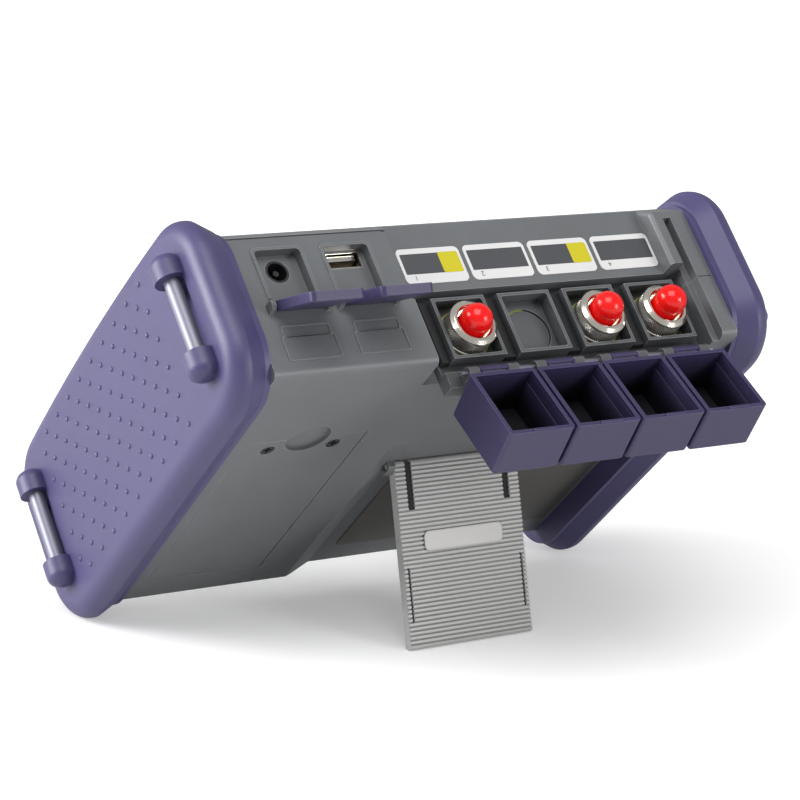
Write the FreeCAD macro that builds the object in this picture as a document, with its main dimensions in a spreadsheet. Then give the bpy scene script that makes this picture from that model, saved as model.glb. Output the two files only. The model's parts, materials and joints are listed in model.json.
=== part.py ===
import FreeCAD, Part
import math
import os
import re

import Sketcher

# Optical time domain reflectometer, leaning on its open stand.
#
# Device directions, used for every size below: x runs from one bumper to the other, y from the
# screen face to the back, z from the bottom end to the port end.  The origin of the device
# directions is mid-width, at the bumpers' front edge and bottom.  At the end every piece gets
# the same stance placement, which leans the device back until it rests on the rounded corners
# of its bumpers and on the foot of the stand.

SIZES = {
    # bumpers
    "tall": 168.0, "deep": 70.0, "front_bow": 3.5, "half_body": 92.0, "bumper_deep": 15.5,
    "corner": 20.6, "edge_round": 6.0, "collar_wide": 2.0, "collar_inset": 3.4, "flare_long": 6.5,
    # strap rods in the bumpers
    "rod_out": 2.3, "rod_radius": 2.7, "rod_low": 17.6, "rod_high": 152.8,
    "rod_front": 20.6, "rod_back": 47.6, "rod_seat": 5.0,
    "boss_radius": 5.5, "boss_long": 9.0, "strap_below": 9.0, "strap_above": 3.9, "strap_deep": 6.0,
    # housing
    "front_face": 5.0, "front_lip": 12.0, "lip_drop": 9.0, "parting": 39.5, "back_face": 63.6,
    "foot_line": 11.7, "port_end": 162.2, "wall": 2.6, "skin_gap": 0.3,
    # port end: connector block at one side, recessed label shelf and port panel beside it
    "block_side": 31.4, "block_round": 3.0, "block_edge": 1.2, "shelf_drop": 6.6, "shelf_end": 77.5,
    "groove_wide": 2.4, "groove_deep": 4.0, "ridge_round": 1.6,
    "panel_front": 33.4, "panel_side": 24.6, "panel_end": 83.0,
    "panel_floor": 150.6, "panel_thick": 3.0, "frame_top": 156.0, "frame_wall": 1.2,
    "bay_pitch": 26.5, "first_bay": 10.5, "frame_wide": 21.0, "frame_front": 36.2,
    "frame_back": 59.5, "pocket_round": 1.0,
    # port covers and their hinge
    "cover_gap": 1.2, "cover_wall": 1.5, "cover_front": 33.8, "cover_back": 62.4,
    "cover_rim": 154.0, "cover_end": 172.0, "cover_round": 1.2, "cover_open": 164.0,
    "hinge_back": 66.5, "hinge_high": 158.0, "hinge_pin": 0.8, "hinge_play": 0.06,
    "knuckle": 2.1, "leaf_wide": 11.0, "ear_wide": 4.0, "leaf_sweep": 4.9, "rail_front": 62.7,
    # fibre adapters, knurled nuts and dust caps
    "port_back": 48.5, "barrel_radius": 4.0, "barrel_high": 12.4, "ferrule_bore": 1.25,
    "ferrule_deep": 10.0, "base_radius": 8.8, "base_thick": 0.8,
    "nut_radius": 8.7, "nut_high": 8.4, "nut_floor": 2.4, "nut_mouth": 6.0, "nut_edge": 0.5,
    "cap_radius": 5.3, "cap_dome": 10.9, "cap_grip": 0.05,
    "lift_1": 0.0, "lift_3": 0.7, "lift_4": 1.6, "plug_radius": 8.6, "plug_thick": 0.8, "plug_sunk": 0.6,
    # power and data sockets with their flaps
    "recess_wide": 16.8, "recess_front": 17.4, "recess_back": 36.4, "recess_deep": 3.6,
    "power_side": 75.2, "data_side": 49.8, "socket_back": 23.4, "recess_round": 1.6,
    "lip_wide": 1.1, "lip_proud": 0.5,
    "power_outer": 4.2, "power_bore": 3.4, "power_pin": 1.0, "power_deep": 9.0,
    "data_wide": 13.4, "data_high": 6.2, "data_shell": 0.35, "data_deep": 12.0,
    "data_tongue": 1.8, "data_shift": 2.6, "flap_front": 16.0, "flap_thick": 3.4,
    "flap_wide": 19.2, "flap_open": 116.0, "flap_axis": 39.6, "flap_lift": 0.8, "flap_pin": 0.7,
    "flap_wall": 1.8, "flap_ear": 1.5, "flap_ear_high": 4.4,
    # stand
    "stand_side": 11.4, "stand_wide": 51.2, "stand_long": 64.0, "stand_thick": 3.8,
    "stand_axis": 60.6, "stand_high": 86.0, "stand_open": 61.0, "trunnion": 1.4,
    "trunnion_long": 2.0, "rib_pitch": 1.54, "rib_deep": 0.6, "rib_gap": 0.45, "slot_long": 15.8,
    "slot_wide": 2.7, "slot_inset": 4.2, "lower_slit": 19.0, "slit_wide": 0.9,
    "slit_inset": 1.5, "slit_up": 9.4, "pad_inset": 9.2, "pad_low": 33.4, "pad_high": 7.0,
    "pad_proud": 0.3, "pad_round": 2.0,
    # recess for the stand
    "recess_floor": 58.1, "slope_top": 107.5, "floor_top": 81.0, "slope_side": 23.0,
    "floor_side": 10.4,
    # battery
    "lid_left": 84.0, "lid_right": 38.7, "lid_low": 26.1, "lid_thick": 2.0,
    "lid_corner": 1.6, "thumb": 8.0, "thumb_deep": 1.4, "lid_screw": 2.6, "screw_low": 5.4,
    "screw_left": 74.2, "screw_right": 49.4,
    "screw_height": 114.2, "screw_drop": 5.5, "lug_wide": 2.6, "lug_low": 0.9, "lug_half": 3.0,
    "lug_round": 1.2, "battery_wide": 40.0, "battery_room": 10.1,
    "battery_thick": 17.0,
    # port labels
    "label_wide": 24.8, "label_high": 13.8, "label_thick": 0.3, "label_front": 16.4,
    "label_shift": 4.1, "label_round": 2.0, "plate_left": 4.0, "plate_right": -90.0,
    "plate_low": 23.0, "plate_high": 79.0,
    # screen and keys
    "lens_wide": 138.0, "lens_high": 108.0, "lens_side": -17.0, "lens_up": 88.0,
    "lens_thick": 1.4, "lens_round": 4.0, "glass_wide": 130.0, "glass_high": 99.0,
    "display_thick": 5.0, "key_side": 71.4, "key_wide": 11.0, "key_high": 7.0,
    "key_round": 1.8, "key_proud": 0.9, "key_thick": 3.4, "key_gap": 0.3, "key_travel": 0.6,
    "pad_step": 11.6, "pad_middle": 86.0, "ok_radius": 4.8, "mat_gap": 0.3, "mat_thick": 1.4,
    # inner parts
    "board_thick": 1.6, "board_depth": 30.0, "module_thick": 14.0, "module_wide": 92.0,
    "module_high": 34.0,
}
# sizes that follow from the ones above
TIED = {
    "half_wide": "half_body + bumper_deep",
    "shelf": "port_end - shelf_drop",
    "lid_high": "screw_height + screw_drop",
    "battery_high": "screw_height - lid_low - battery_room",
}
SIZES.update((name, "=" + formula) for name, formula in TIED.items())

PORTS = (1, 3, 4)
BAYS = (1, 2, 3, 4)

doc = FreeCAD.newDocument("reflectometer")
sheet = doc.addObject("Spreadsheet::Sheet", "Sizes")
for row, (name, value) in enumerate(SIZES.items(), start=1):
    sheet.set(f"A{row}", name)
    sheet.set(f"B{row}", str(value))
    sheet.setAlias(f"B{row}", name)
doc.recompute()

WORD = re.compile(r"\b[a-z]+(?:_[a-z0-9]+)*\b")


def size(name):
    """Read one named size back from the sheet."""
    return float(sheet.get(name))


def bound(text):
    """Turn a formula in size names into an expression on the sheet."""
    def cell(match):
        word = match.group(0)
        return "Sizes." + word if word in SIZES else word
    return WORD.sub(cell, str(text))


def worth(text):
    """Work out the same formula as a number."""
    names = {name: size(name) for name in set(WORD.findall(str(text))) & set(SIZES)}
    total = str(text)
    for name in sorted(names, key=len, reverse=True):
        total = re.sub(rf"\b{name}\b", f"({names[name]!r})", total)
    return FreeCAD.Units.parseQuantity(total).Value


# ---------------------------------------------------------------- building blocks

TURN = {
    "x": FreeCAD.Rotation(FreeCAD.Vector(0, 1, 0), 90),
    "y": FreeCAD.Rotation(FreeCAD.Vector(1, 0, 0), -90),
    "z": FreeCAD.Rotation(),
}


def put(item, x, y, z):
    """Bind where a primitive starts."""
    for axis, text in zip("xyz", (x, y, z)):
        item.setExpression(".Placement.Base." + axis, bound(text))
    return item


def box(name, x, y, z):
    """A box between two x, two y and two z places."""
    item = doc.addObject("Part::Box", name)
    for prop, (low, high) in zip(("Length", "Width", "Height"), (x, y, z)):
        item.setExpression(prop, bound(f"({high}) - ({low})"))
    return put(item, x[0], y[0], z[0])


def rod(name, radius, along, start, long):
    """A cylinder along x, y or z from its start point."""
    item = doc.addObject("Part::Cylinder", name)
    item.Placement = FreeCAD.Placement(FreeCAD.Vector(), TURN[along])
    item.setExpression("Radius", bound(radius))
    item.setExpression("Height", bound(long))
    return put(item, *start)


def ball(name, radius, centre):
    """A whole sphere."""
    item = doc.addObject("Part::Sphere", name)
    item.setExpression("Radius", bound(radius))
    return put(item, *centre)


def taper(name, y, low_x, low_z, high_x, high_z):
    """A block whose rectangle at the lower y grows or shrinks to the one at the higher y."""
    item = doc.addObject("Part::Wedge", name)
    ends = {"Ymin": y[0], "Ymax": y[1], "Xmin": low_x[0], "Xmax": low_x[1], "Zmin": low_z[0],
            "Zmax": low_z[1], "X2min": high_x[0], "X2max": high_x[1], "Z2min": high_z[0],
            "Z2max": high_z[1]}
    for prop, text in ends.items():
        item.setExpression(prop, bound(text))
    return item


def join(name, parts):
    """One solid from several."""
    if len(parts) == 1:
        return parts[0]
    item = doc.addObject("Part::MultiFuse", name)
    item.Shapes = parts
    item.Refine = True
    return item


def cut(name, base, tools):
    """A piece with its tools taken away; a tool that takes nothing is a mistake."""
    item = doc.addObject("Part::Cut", name)
    item.Base = base
    item.Tool = join(name + "_tools", tools)
    item.Refine = True
    doc.recompute()
    assert item.Shape.Volume < base.Shape.Volume - 1e-3, name + " cuts nothing"
    return item


def soften(name, base, radius, wanted, kind="Part::Fillet"):
    """Round or bevel the edges that a test picks out of the finished shape so far."""
    doc.recompute()
    item = doc.addObject(kind, name)
    item.Base = base
    reach = worth(radius)
    item.Edges = [(number, reach, reach) for number, edge in enumerate(base.Shape.Edges, start=1)
                  if wanted(edge)]
    assert item.Edges, name + " found no edge"
    return item


def runs_along(edge, axis):
    """True for a straight edge along one axis."""
    if len(edge.Vertexes) != 2 or edge.Curve.TypeId != "Part::GeomLine":
        return False
    step = edge.Vertexes[1].Point - edge.Vertexes[0].Point
    return abs(abs(getattr(step, axis)) - step.Length) < 1e-6


def lies_at(edge, axis, place):
    """True for an edge that stays at one place on an axis."""
    limits = edge.BoundBox
    low, high = getattr(limits, axis.upper() + "Min"), getattr(limits, axis.upper() + "Max")
    return abs(low - place) < 1e-3 and abs(high - place) < 1e-3


STANCES = {}


def finish(label, item, swing=None):
    """Name a finished piece; swing is the hinge point and angle that open it."""
    if item.TypeId in ("Part::Box", "Part::Cylinder"):
        single = doc.addObject("Part::Compound", label + "_single")
        single.Links = [item]
        item = single
    item.Label = label
    STANCES[label] = (item, swing)
    return item


# ---------------------------------------------------------------- bumpers and strap rods

def outline(body, name, offset, inset, bowed):
    """A closed outline of the device's side, with its front edge bowed outwards."""
    sketch = body.newObject("Sketcher::SketchObject", name)
    plane = next(item for item in body.Origin.OriginFeatures if item.Role == "YZ_Plane")
    sketch.AttachmentSupport = [(plane, "")]
    sketch.MapMode = "FlatFace"
    sketch.setExpression(".AttachmentOffset.Base.z", bound(offset))
    low, deep, tall = worth(inset), worth("deep"), worth("tall")
    corners = [(low, low), (deep - low, low), (deep - low, tall - low), (low, tall - low)]
    points = [FreeCAD.Vector(a, b, 0) for a, b in corners]
    sides = 3 if bowed else 4
    for number in range(sides):
        sketch.addGeometry(Part.LineSegment(points[number], points[(number + 1) % 4]))
    if bowed:
        crown = FreeCAD.Vector(-worth("front_bow"), tall / 2, 0)
        sketch.addGeometry(Part.Arc(points[3], crown, points[0]))
    for number in range(3):
        if number < sides - 1 or not bowed:
            sketch.addConstraint(Sketcher.Constraint("Coincident", number, 2, number + 1, 1))
    if bowed:
        arc = sketch.Geometry[3]
        first, last = (1, 2) if arc.StartPoint.sub(points[3]).Length < 1e-6 else (2, 1)
        sketch.addConstraint(Sketcher.Constraint("Coincident", 2, 2, 3, first))
        sketch.addConstraint(Sketcher.Constraint("Coincident", 0, 1, 3, last))
    else:
        sketch.addConstraint(Sketcher.Constraint("Coincident", 3, 2, 0, 1))
        sketch.addConstraint(Sketcher.Constraint("Vertical", 3))
    sketch.addConstraint(Sketcher.Constraint("Horizontal", 0))
    sketch.addConstraint(Sketcher.Constraint("Vertical", 1))
    sketch.addConstraint(Sketcher.Constraint("Horizontal", 2))
    sizes = [(("DistanceX", -1, 1, 0, 1), inset), (("DistanceY", -1, 1, 0, 1), inset),
             (("DistanceX", 0, 1, 0, 2), f"deep - 2 * ({inset})"),
             (("DistanceY", 1, 1, 1, 2), f"tall - 2 * ({inset})")]
    if bowed:
        sizes.append((("Radius", 3), "(tall ^ 2 / 4 + front_bow ^ 2) / (2 * front_bow)"))
    for spec, text in sizes:
        value = worth(text) if "^" not in text else arc.Radius
        index = sketch.addConstraint(Sketcher.Constraint(*spec, value))
        sketch.setExpression(f"Constraints[{index}]", bound(text))
    return sketch


def pad(body, name, sketch, long, back):
    """A pad of a sketch, towards +x or, with back, towards -x."""
    item = body.newObject("PartDesign::Pad", name)
    item.Profile = sketch
    item.setExpression("Length", bound(long))
    item.Reversed = back
    doc.recompute()
    return item


def rounded(body, name, base, radius, wanted):
    """A fillet on the edges of a body that a test picks."""
    item = body.newObject("PartDesign::Fillet", name)
    names = [f"Edge{number}" for number, edge in enumerate(base.Shape.Edges, start=1) if wanted(edge)]
    item.Base = (base, names)
    item.setExpression("Radius", bound(radius))
    doc.recompute()
    return item


def flared(body, name, base, across, along, wanted):
    """A slope cut on the edges of a body that a test picks, longer along the device than across."""
    item = body.newObject("PartDesign::Chamfer", name)
    names = [f"Edge{number}" for number, edge in enumerate(base.Shape.Edges, start=1) if wanted(edge)]
    item.Base = (base, names)
    item.ChamferType = "Two distances"
    item.setExpression("Size", bound(along))
    item.setExpression("Size2", bound(across))
    doc.recompute()
    return item


def bumper(label, side):
    """A soft end bumper: collar, thick rounded pad, two strap channels and their bosses."""
    sign = "" if side > 0 else "-1 * "
    body = doc.addObject("PartDesign::Body", label + "_body")
    collar = pad(body, label + "_collar", outline(body, label + "_collar_line", sign + "half_body",
                 "collar_inset", False), "collar_wide + flare_long", side < 0)
    collar = rounded(body, label + "_collar_round", collar, "corner - collar_inset",
                     lambda edge: runs_along(edge, "x"))
    inner = side * worth("half_body + collar_wide")
    main = pad(body, label + "_pad", outline(body, label + "_line", sign + "(half_body + collar_wide)",
               "0", True), "half_wide - half_body - collar_wide", side < 0)
    outer = side * worth("half_wide")
    main = rounded(body, label + "_corners", main, "corner",
                   lambda edge: runs_along(edge, "x") and abs(abs(edge.Vertexes[0].X) - abs(inner)) < 1e-3
                   or runs_along(edge, "x") and abs(abs(edge.Vertexes[1].X) - abs(inner)) < 1e-3)
    main = rounded(body, label + "_edge", main, "edge_round", lambda edge: lies_at(edge, "x", outer))
    rim = (worth("collar_inset / 2"), worth("deep - collar_inset / 2"), worth("tall - collar_inset / 2"))
    main = flared(body, label + "_flare", main, "collar_inset * 0.97", "flare_long",
                  lambda edge: lies_at(edge, "x", inner) and (
                      edge.BoundBox.YMin < rim[0] or edge.BoundBox.YMax > rim[1]
                      or edge.BoundBox.ZMin < rim[0] or edge.BoundBox.ZMax > rim[2]))
    body.Tip = main
    doc.recompute()

    def span(near, far):
        """Two x places on this side, lowest first."""
        pair = (sign + f"({near})", sign + f"({far})")
        return pair if side > 0 else pair[::-1]

    rooms, bosses, bores = [], [], []
    for height in ("rod_low", "rod_high"):
        tag = f"{label}_{height}"
        rooms.append(box(tag + "_room", span("half_wide - strap_deep", "half_wide + boss_radius"),
                         ("rod_front", "rod_back"),
                         (f"{height} - strap_below", f"{height} + strap_above")))
        axis = sign + "(half_wide + rod_out)"
        for end, start in (("front", "rod_front - boss_long"), ("back", "rod_back")):
            boss = rod(f"{tag}_{end}", "boss_radius", "y", (axis, start, height), "boss_long")
            tip = worth(start) if end == "front" else worth(start + " + boss_long")
            bosses.append(soften(f"{tag}_{end}_dome", boss, "boss_radius * 0.7",
                                 lambda edge, tip=tip: lies_at(edge, "y", tip)))
        bores.append(rod(tag + "_bore", "rod_radius", "y", (axis, "rod_front - rod_seat", height),
                         "rod_back - rod_front + 2 * rod_seat"))
        shaft = rod(tag + "_shaft", "rod_radius", "y", (axis, "rod_front - rod_seat", height),
                    "rod_back - rod_front + 2 * rod_seat")
        shaft = soften(tag + "_shaft_ends", shaft, "rod_radius / 4",
                       lambda edge: edge.Curve.TypeId == "Part::GeomCircle", "Part::Chamfer")
        finish(f"strap_rod_{label.split('_')[1]}_{height.split('_')[1]}", shaft)
    shell = cut(label + "_rooms", body, rooms)
    shell = join(label + "_bossed", [shell] + bosses)
    return finish(label, cut(label + "_bored", shell, bores))


bumper("bumper_left", 1)
bumper("bumper_right", -1)


# ---------------------------------------------------------------- housing shells

BODY = ("-1 * half_body", "half_body")
INSIDE = ("wall - half_body", "half_body - wall")
WHOLE = ("foot_line", "port_end")
SHELF = ("-1 * shelf_end", "block_side")
PANEL_ROOM = ("-1 * panel_end", "block_side")
UNDER_PANEL = "panel_floor - panel_thick"
RECESS = "socket_back"
DATA_MIDDLE = "(socket_back - data_shift)"
FLAP_LOW = "(port_end + flap_lift)"
FLAP_HIGH = "(port_end + flap_lift + flap_thick / 2)"


def sockets():
    """The centre of each socket recess."""
    return (("power", "power_side"), ("data", "data_side"))


def window(name, x, z, wide, high, near, far):
    """A box through the front face, centred on x and z."""
    return box(name, (f"{x} - ({wide}) / 2", f"{x} + ({wide}) / 2"), (near, far),
               (f"{z} - ({high}) / 2", f"{z} + ({high}) / 2"))


KEYS = {
    "power": (0, 4.6), "menu": (-0.75, 3.3), "back": (0.75, 3.3), "up": (0, 1), "down": (0, -1),
    "left": (-1, 0), "right": (1, 0), "file": (-0.75, -2.2), "setup": (0.75, -2.2),
}


def key_place(name):
    """Where a key's middle is on the front face."""
    across, up = KEYS[name]
    return f"(key_side + {across} * pad_step)", f"(pad_middle + {up} * pad_step)"


def front_shell():
    """The screen side: bevelled front, recessed label shelf at the port end."""
    front = taper("front_bevel", ("front_face", "front_lip"), BODY,
                  ("foot_line + lip_drop", "port_end - lip_drop"), BODY, WHOLE)
    rear = box("front_band", BODY, ("front_lip", "parting"), WHOLE)
    solid = join("front_solid", [front, rear])
    solid = soften("front_round", solid, "skin_gap * 4",
                   lambda edge: runs_along(edge, "x") and edge.BoundBox.YMax < worth("front_lip") + 1e-3)
    tools = [
        box("front_room", INSIDE, ("front_face + wall", "parting"),
            ("foot_line + lip_drop + wall", f"{UNDER_PANEL} - wall")),
        box("shelf_step", SHELF, ("front_face", "parting"), ("shelf", "port_end + 1")),
        box("block_room", ("block_side", "half_body"), ("front_lip", "parting"),
            ("panel_floor", "port_end + 1")),
        box("front_panel_room", PANEL_ROOM, ("panel_front", "parting"), (UNDER_PANEL, "port_end + 1")),
        box("front_groove", ("-1 * (panel_end + groove_wide)", "-1 * panel_end"),
            ("front_lip + wall", "parting"), ("port_end - groove_deep", "port_end + 1")),
        window("lens_room", "lens_side", "lens_up", "lens_wide + 2 * skin_gap",
               "lens_high + 2 * skin_gap", "front_face - 1", "front_face + lens_thick"),
        window("glass_room", "lens_side", "lens_up", "glass_wide", "glass_high", "front_face",
               "front_face + wall + 1"),
        rod("ok_room", "ok_radius + key_gap", "y", ("key_side", "front_face - 1", "pad_middle"),
            "wall + 2"),
        rod("power_pass", "power_outer + skin_gap", "z", ("power_side", RECESS, f"{UNDER_PANEL} - wall - 1"),
            "panel_thick + wall + 2"),
        window("data_pass", "data_side", f"{UNDER_PANEL}", "data_wide + 2 * skin_gap",
               "2 * (panel_thick + wall)", f"{DATA_MIDDLE} - data_high / 2 - skin_gap",
               f"{DATA_MIDDLE} + data_high / 2 + skin_gap"),
    ]
    for name in KEYS:
        x, z = key_place(name)
        tools.append(window(f"key_room_{name}", x, z, "key_wide + 2 * key_gap",
                            "key_high + 2 * key_gap", "front_face - 1", "front_face + wall + 1"))
    shell = cut("front_cut", solid, tools)
    high, edges = worth("port_end"), (-worth("shelf_end"), -worth("panel_end"))
    shell = soften("ridge_rounds", shell, "ridge_round", lambda edge: runs_along(edge, "y")
                   and lies_at(edge, "z", high) and any(lies_at(edge, "x", place) for place in edges))
    return finish("front_shell", shell)


def back_shell():
    """The back: connector block, stand recess and battery bay."""
    rear = box("back_band", BODY, ("parting", "back_face"), WHOLE)
    block = box("connector_block", ("block_side", "half_body"), ("front_lip", "back_face"),
                ("panel_floor", "port_end"))
    tall, back, lip = worth("port_end"), worth("back_face"), worth("front_lip")
    block = soften("block_corner", block, "block_round", lambda edge: runs_along(edge, "z")
                   and edge.BoundBox.YMax < lip + 1 and edge.BoundBox.XMax < worth("block_side") + 1)
    block = soften("block_edges", block, "block_edge", lambda edge: lies_at(edge, "z", tall)
                   and edge.BoundBox.YMin < back - 1 and edge.BoundBox.XMin < worth("half_body") - 1)
    lips = []
    for name, side in sockets():
        rim = box(f"{name}_lip_box",
                  (f"{side} - recess_wide / 2 - lip_wide", f"{side} + recess_wide / 2 + lip_wide"),
                  ("recess_front - lip_wide", "recess_back - 1"), ("port_end - 1", "port_end + lip_proud"))
        rim = soften(f"{name}_lip", rim, "recess_round + lip_wide / 2", lambda edge: runs_along(edge, "z")
                     and edge.BoundBox.YMax < worth("recess_front"))
        lips.append(rim)
        for tag, low in (("a", f"{side} - flap_wide / 2 - skin_gap - flap_ear"),
                         ("b", f"{side} + flap_wide / 2 + skin_gap")):
            ear = box(f"{name}_ear_{tag}", (low, f"{low} + flap_ear"),
                      ("flap_axis - flap_thick / 2", "flap_axis + flap_thick / 2"),
                      ("port_end - 1", "port_end + flap_ear_high"))
            top = worth("port_end + flap_ear_high")
            lips.append(soften(f"{name}_ear_{tag}_round", ear, "flap_thick / 2 - 0.2",
                               lambda edge: runs_along(edge, "x") and lies_at(edge, "z", top)))
    solid = join("back_solid", [rear, block])
    solid = soften("back_round", solid, "2.4", lambda edge: runs_along(edge, "x") and
                   lies_at(edge, "y", back) and edge.BoundBox.ZMin > 1)
    tools = [
        box("back_room", INSIDE, ("parting", "recess_floor - wall"),
            ("foot_line + wall", f"{UNDER_PANEL} - wall")),
        taper("stand_recess", ("recess_floor", "back_face + 1"),
              ("-1 * half_body", "floor_side"), ("foot_line - 1", "floor_top"),
              ("-1 * half_body", "slope_side + (slope_side - floor_side) / (back_face - recess_floor)"),
              ("foot_line - 1", "slope_top + (slope_top - floor_top) / (back_face - recess_floor)")),
        box("hinge_room", ("stand_side - stand_wide - skin_gap", "stand_side + skin_gap"),
            ("recess_floor", "back_face + 1"),
            ("floor_top - 1", "stand_high + stand_thick / 2 + 2 * skin_gap")),
        box("panel_room", PANEL_ROOM, ("parting", "back_face + 1"), (UNDER_PANEL, "port_end + 1")),
        box("back_groove", ("-1 * (panel_end + groove_wide)", "-1 * panel_end"),
            ("parting", "back_face + 1"), ("port_end - groove_deep", "port_end + 1")),
        box("battery_room", ("lid_right + 1.6", "lid_left - 1.6"), ("parting", "back_face"),
            ("lid_low + 1.6", "screw_height - 5")),
        soften("lid_seat", box("lid_seat_box", ("lid_right - skin_gap", "lid_left + skin_gap"),
                               ("back_face - lid_thick", "back_face + 1"),
                               ("lid_low - skin_gap", "lid_high + skin_gap")),
               "lid_corner", lid_corner_edge, "Part::Chamfer"),
        rod("thumb_scoop", "thumb", "y", ("(lid_left + lid_right) / 2", "back_face - thumb_deep",
                                          "lid_high"), "thumb_deep + 1"),
    ]
    for side in ("screw_left", "screw_right"):
        tools.append(rod(f"{side}_hole", "lid_screw / 2", "y",
                         (side, "back_face - lid_thick - screw_low", "screw_height"), "screw_low + 1"))
    for name, side in sockets():
        hollow = box(f"{name}_recess_box", (f"{side} - recess_wide / 2", f"{side} + recess_wide / 2"),
                     ("recess_front", "recess_back"), ("port_end - recess_deep", "port_end + 2"))
        tools.append(soften(f"{name}_recess", hollow, "recess_round",
                            lambda edge: runs_along(edge, "z")))
        tools.append(rod(f"{name}_flap_bore", "flap_pin + hinge_play", "x",
                         (f"{side} - flap_wide / 2 - flap_ear", "flap_axis", FLAP_HIGH),
                         "flap_wide + 2 * flap_ear"))
    tools.append(rod("power_hole", "power_outer", "z",
                     ("power_side", RECESS, "port_end - recess_deep - power_deep"), "power_deep + 1"))
    tools.append(box("data_hole", ("data_side - data_wide / 2", "data_side + data_wide / 2"),
                     (f"{DATA_MIDDLE} - data_high / 2", f"{DATA_MIDDLE} + data_high / 2"),
                     ("port_end - recess_deep - data_deep", "port_end")))
    solid = join("back_lipped", [solid] + lips)
    shell = cut("back_cut", solid, tools)
    lugs, bores = [], []
    for tag, low in (("left", "stand_side + skin_gap"),
                     ("right", "stand_side - stand_wide - skin_gap - lug_wide")):
        lug = box(f"stand_lug_{tag}", (low, f"{low} + lug_wide"), ("recess_floor - 1", "back_face - lug_low"),
                  ("stand_high - lug_half", "stand_high + lug_half"))
        lugs.append(soften(f"stand_lug_{tag}_round", lug, "lug_round",
                           lambda edge: runs_along(edge, "x") and edge.BoundBox.YMax > back - 1))
        bores.append(rod(f"stand_bore_{tag}", "trunnion + hinge_play", "x",
                         (f"{low} - 1", "stand_axis", "stand_high"), "lug_wide + 2"))
    shell = join("back_lugged", [shell] + lugs)
    return finish("back_shell", cut("back_bored", shell, bores))


def lid_corner_edge(edge):
    """The battery lid's bevelled corner: the edge nearest the bumper at the port end."""
    return (runs_along(edge, "y") and edge.BoundBox.ZMin > worth("lid_high") - 1
            and edge.BoundBox.XMin > worth("lid_left") - 1)


front_shell()
back_shell()


# ---------------------------------------------------------------- battery

def battery():
    """Lid with its captive screws, and the pack under it."""
    plate = box("lid_box", ("lid_right", "lid_left"), ("back_face - lid_thick", "back_face"),
                ("lid_low", "lid_high"))
    plate = soften("lid_corners", plate, "lid_corner", lid_corner_edge, "Part::Chamfer")
    face = worth("back_face")
    plate = soften("lid_edges", plate, "0.4", lambda edge: lies_at(edge, "y", face))
    tools = [rod("lid_thumb", "thumb", "y", ("(lid_left + lid_right) / 2", "back_face - thumb_deep",
                                             "lid_high"), "thumb_deep + 1")]
    screws = []
    for side in ("screw_left", "screw_right"):
        tools.append(rod(f"{side}_sink", "lid_screw", "y",
                         (side, "back_face - lid_thick / 2", "screw_height"), "lid_thick"))
        tools.append(rod(f"{side}_pass", "lid_screw / 2", "y",
                         (side, "back_face - lid_thick - 1", "screw_height"), "lid_thick + 2"))
        head = rod(f"{side}_head", "lid_screw - 0.2", "y",
                   (side, "back_face - lid_thick / 2", "screw_height"), "lid_thick / 2 - 0.1")
        shank = rod(f"{side}_shank", "lid_screw / 2", "y",
                    (side, "back_face - lid_thick - screw_low", "screw_height"),
                    "lid_thick / 2 + screw_low")
        screw = join(f"{side}_screw", [head, shank])
        slots = [box(f"{side}_slot_x", (f"{side} - lid_screw * 0.6", f"{side} + lid_screw * 0.6"),
                     ("back_face - 0.8", "back_face"), ("screw_height - 0.35", "screw_height + 0.35")),
                 box(f"{side}_slot_z", (f"{side} - 0.35", f"{side} + 0.35"),
                     ("back_face - 0.8", "back_face"),
                     ("screw_height - lid_screw * 0.6", "screw_height + lid_screw * 0.6"))]
        screws.append(cut(f"{side}_driven", screw, slots))
    finish("battery_lid", cut("lid_cut", plate, tools))
    group = doc.addObject("Part::Compound", "lid_screws")
    group.Links = screws
    finish("battery_lid_screws", group)
    low = "(lid_low + 2.4)"
    middle = "(lid_left + lid_right) / 2"
    pack = box("pack", (f"{middle} - battery_wide / 2", f"{middle} + battery_wide / 2"),
               ("back_face - lid_thick - skin_gap - battery_thick", "back_face - lid_thick - skin_gap"),
               (low, f"{low} + battery_high"))
    finish("battery_pack", soften("pack_round", pack, "2", lambda edge: runs_along(edge, "z")))


battery()


# ---------------------------------------------------------------- port panel, hinge rail, covers

def bay_side(bay):
    """The middle of a bay."""
    return f"(first_bay - bay_pitch * {bay - 1})"


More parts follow.
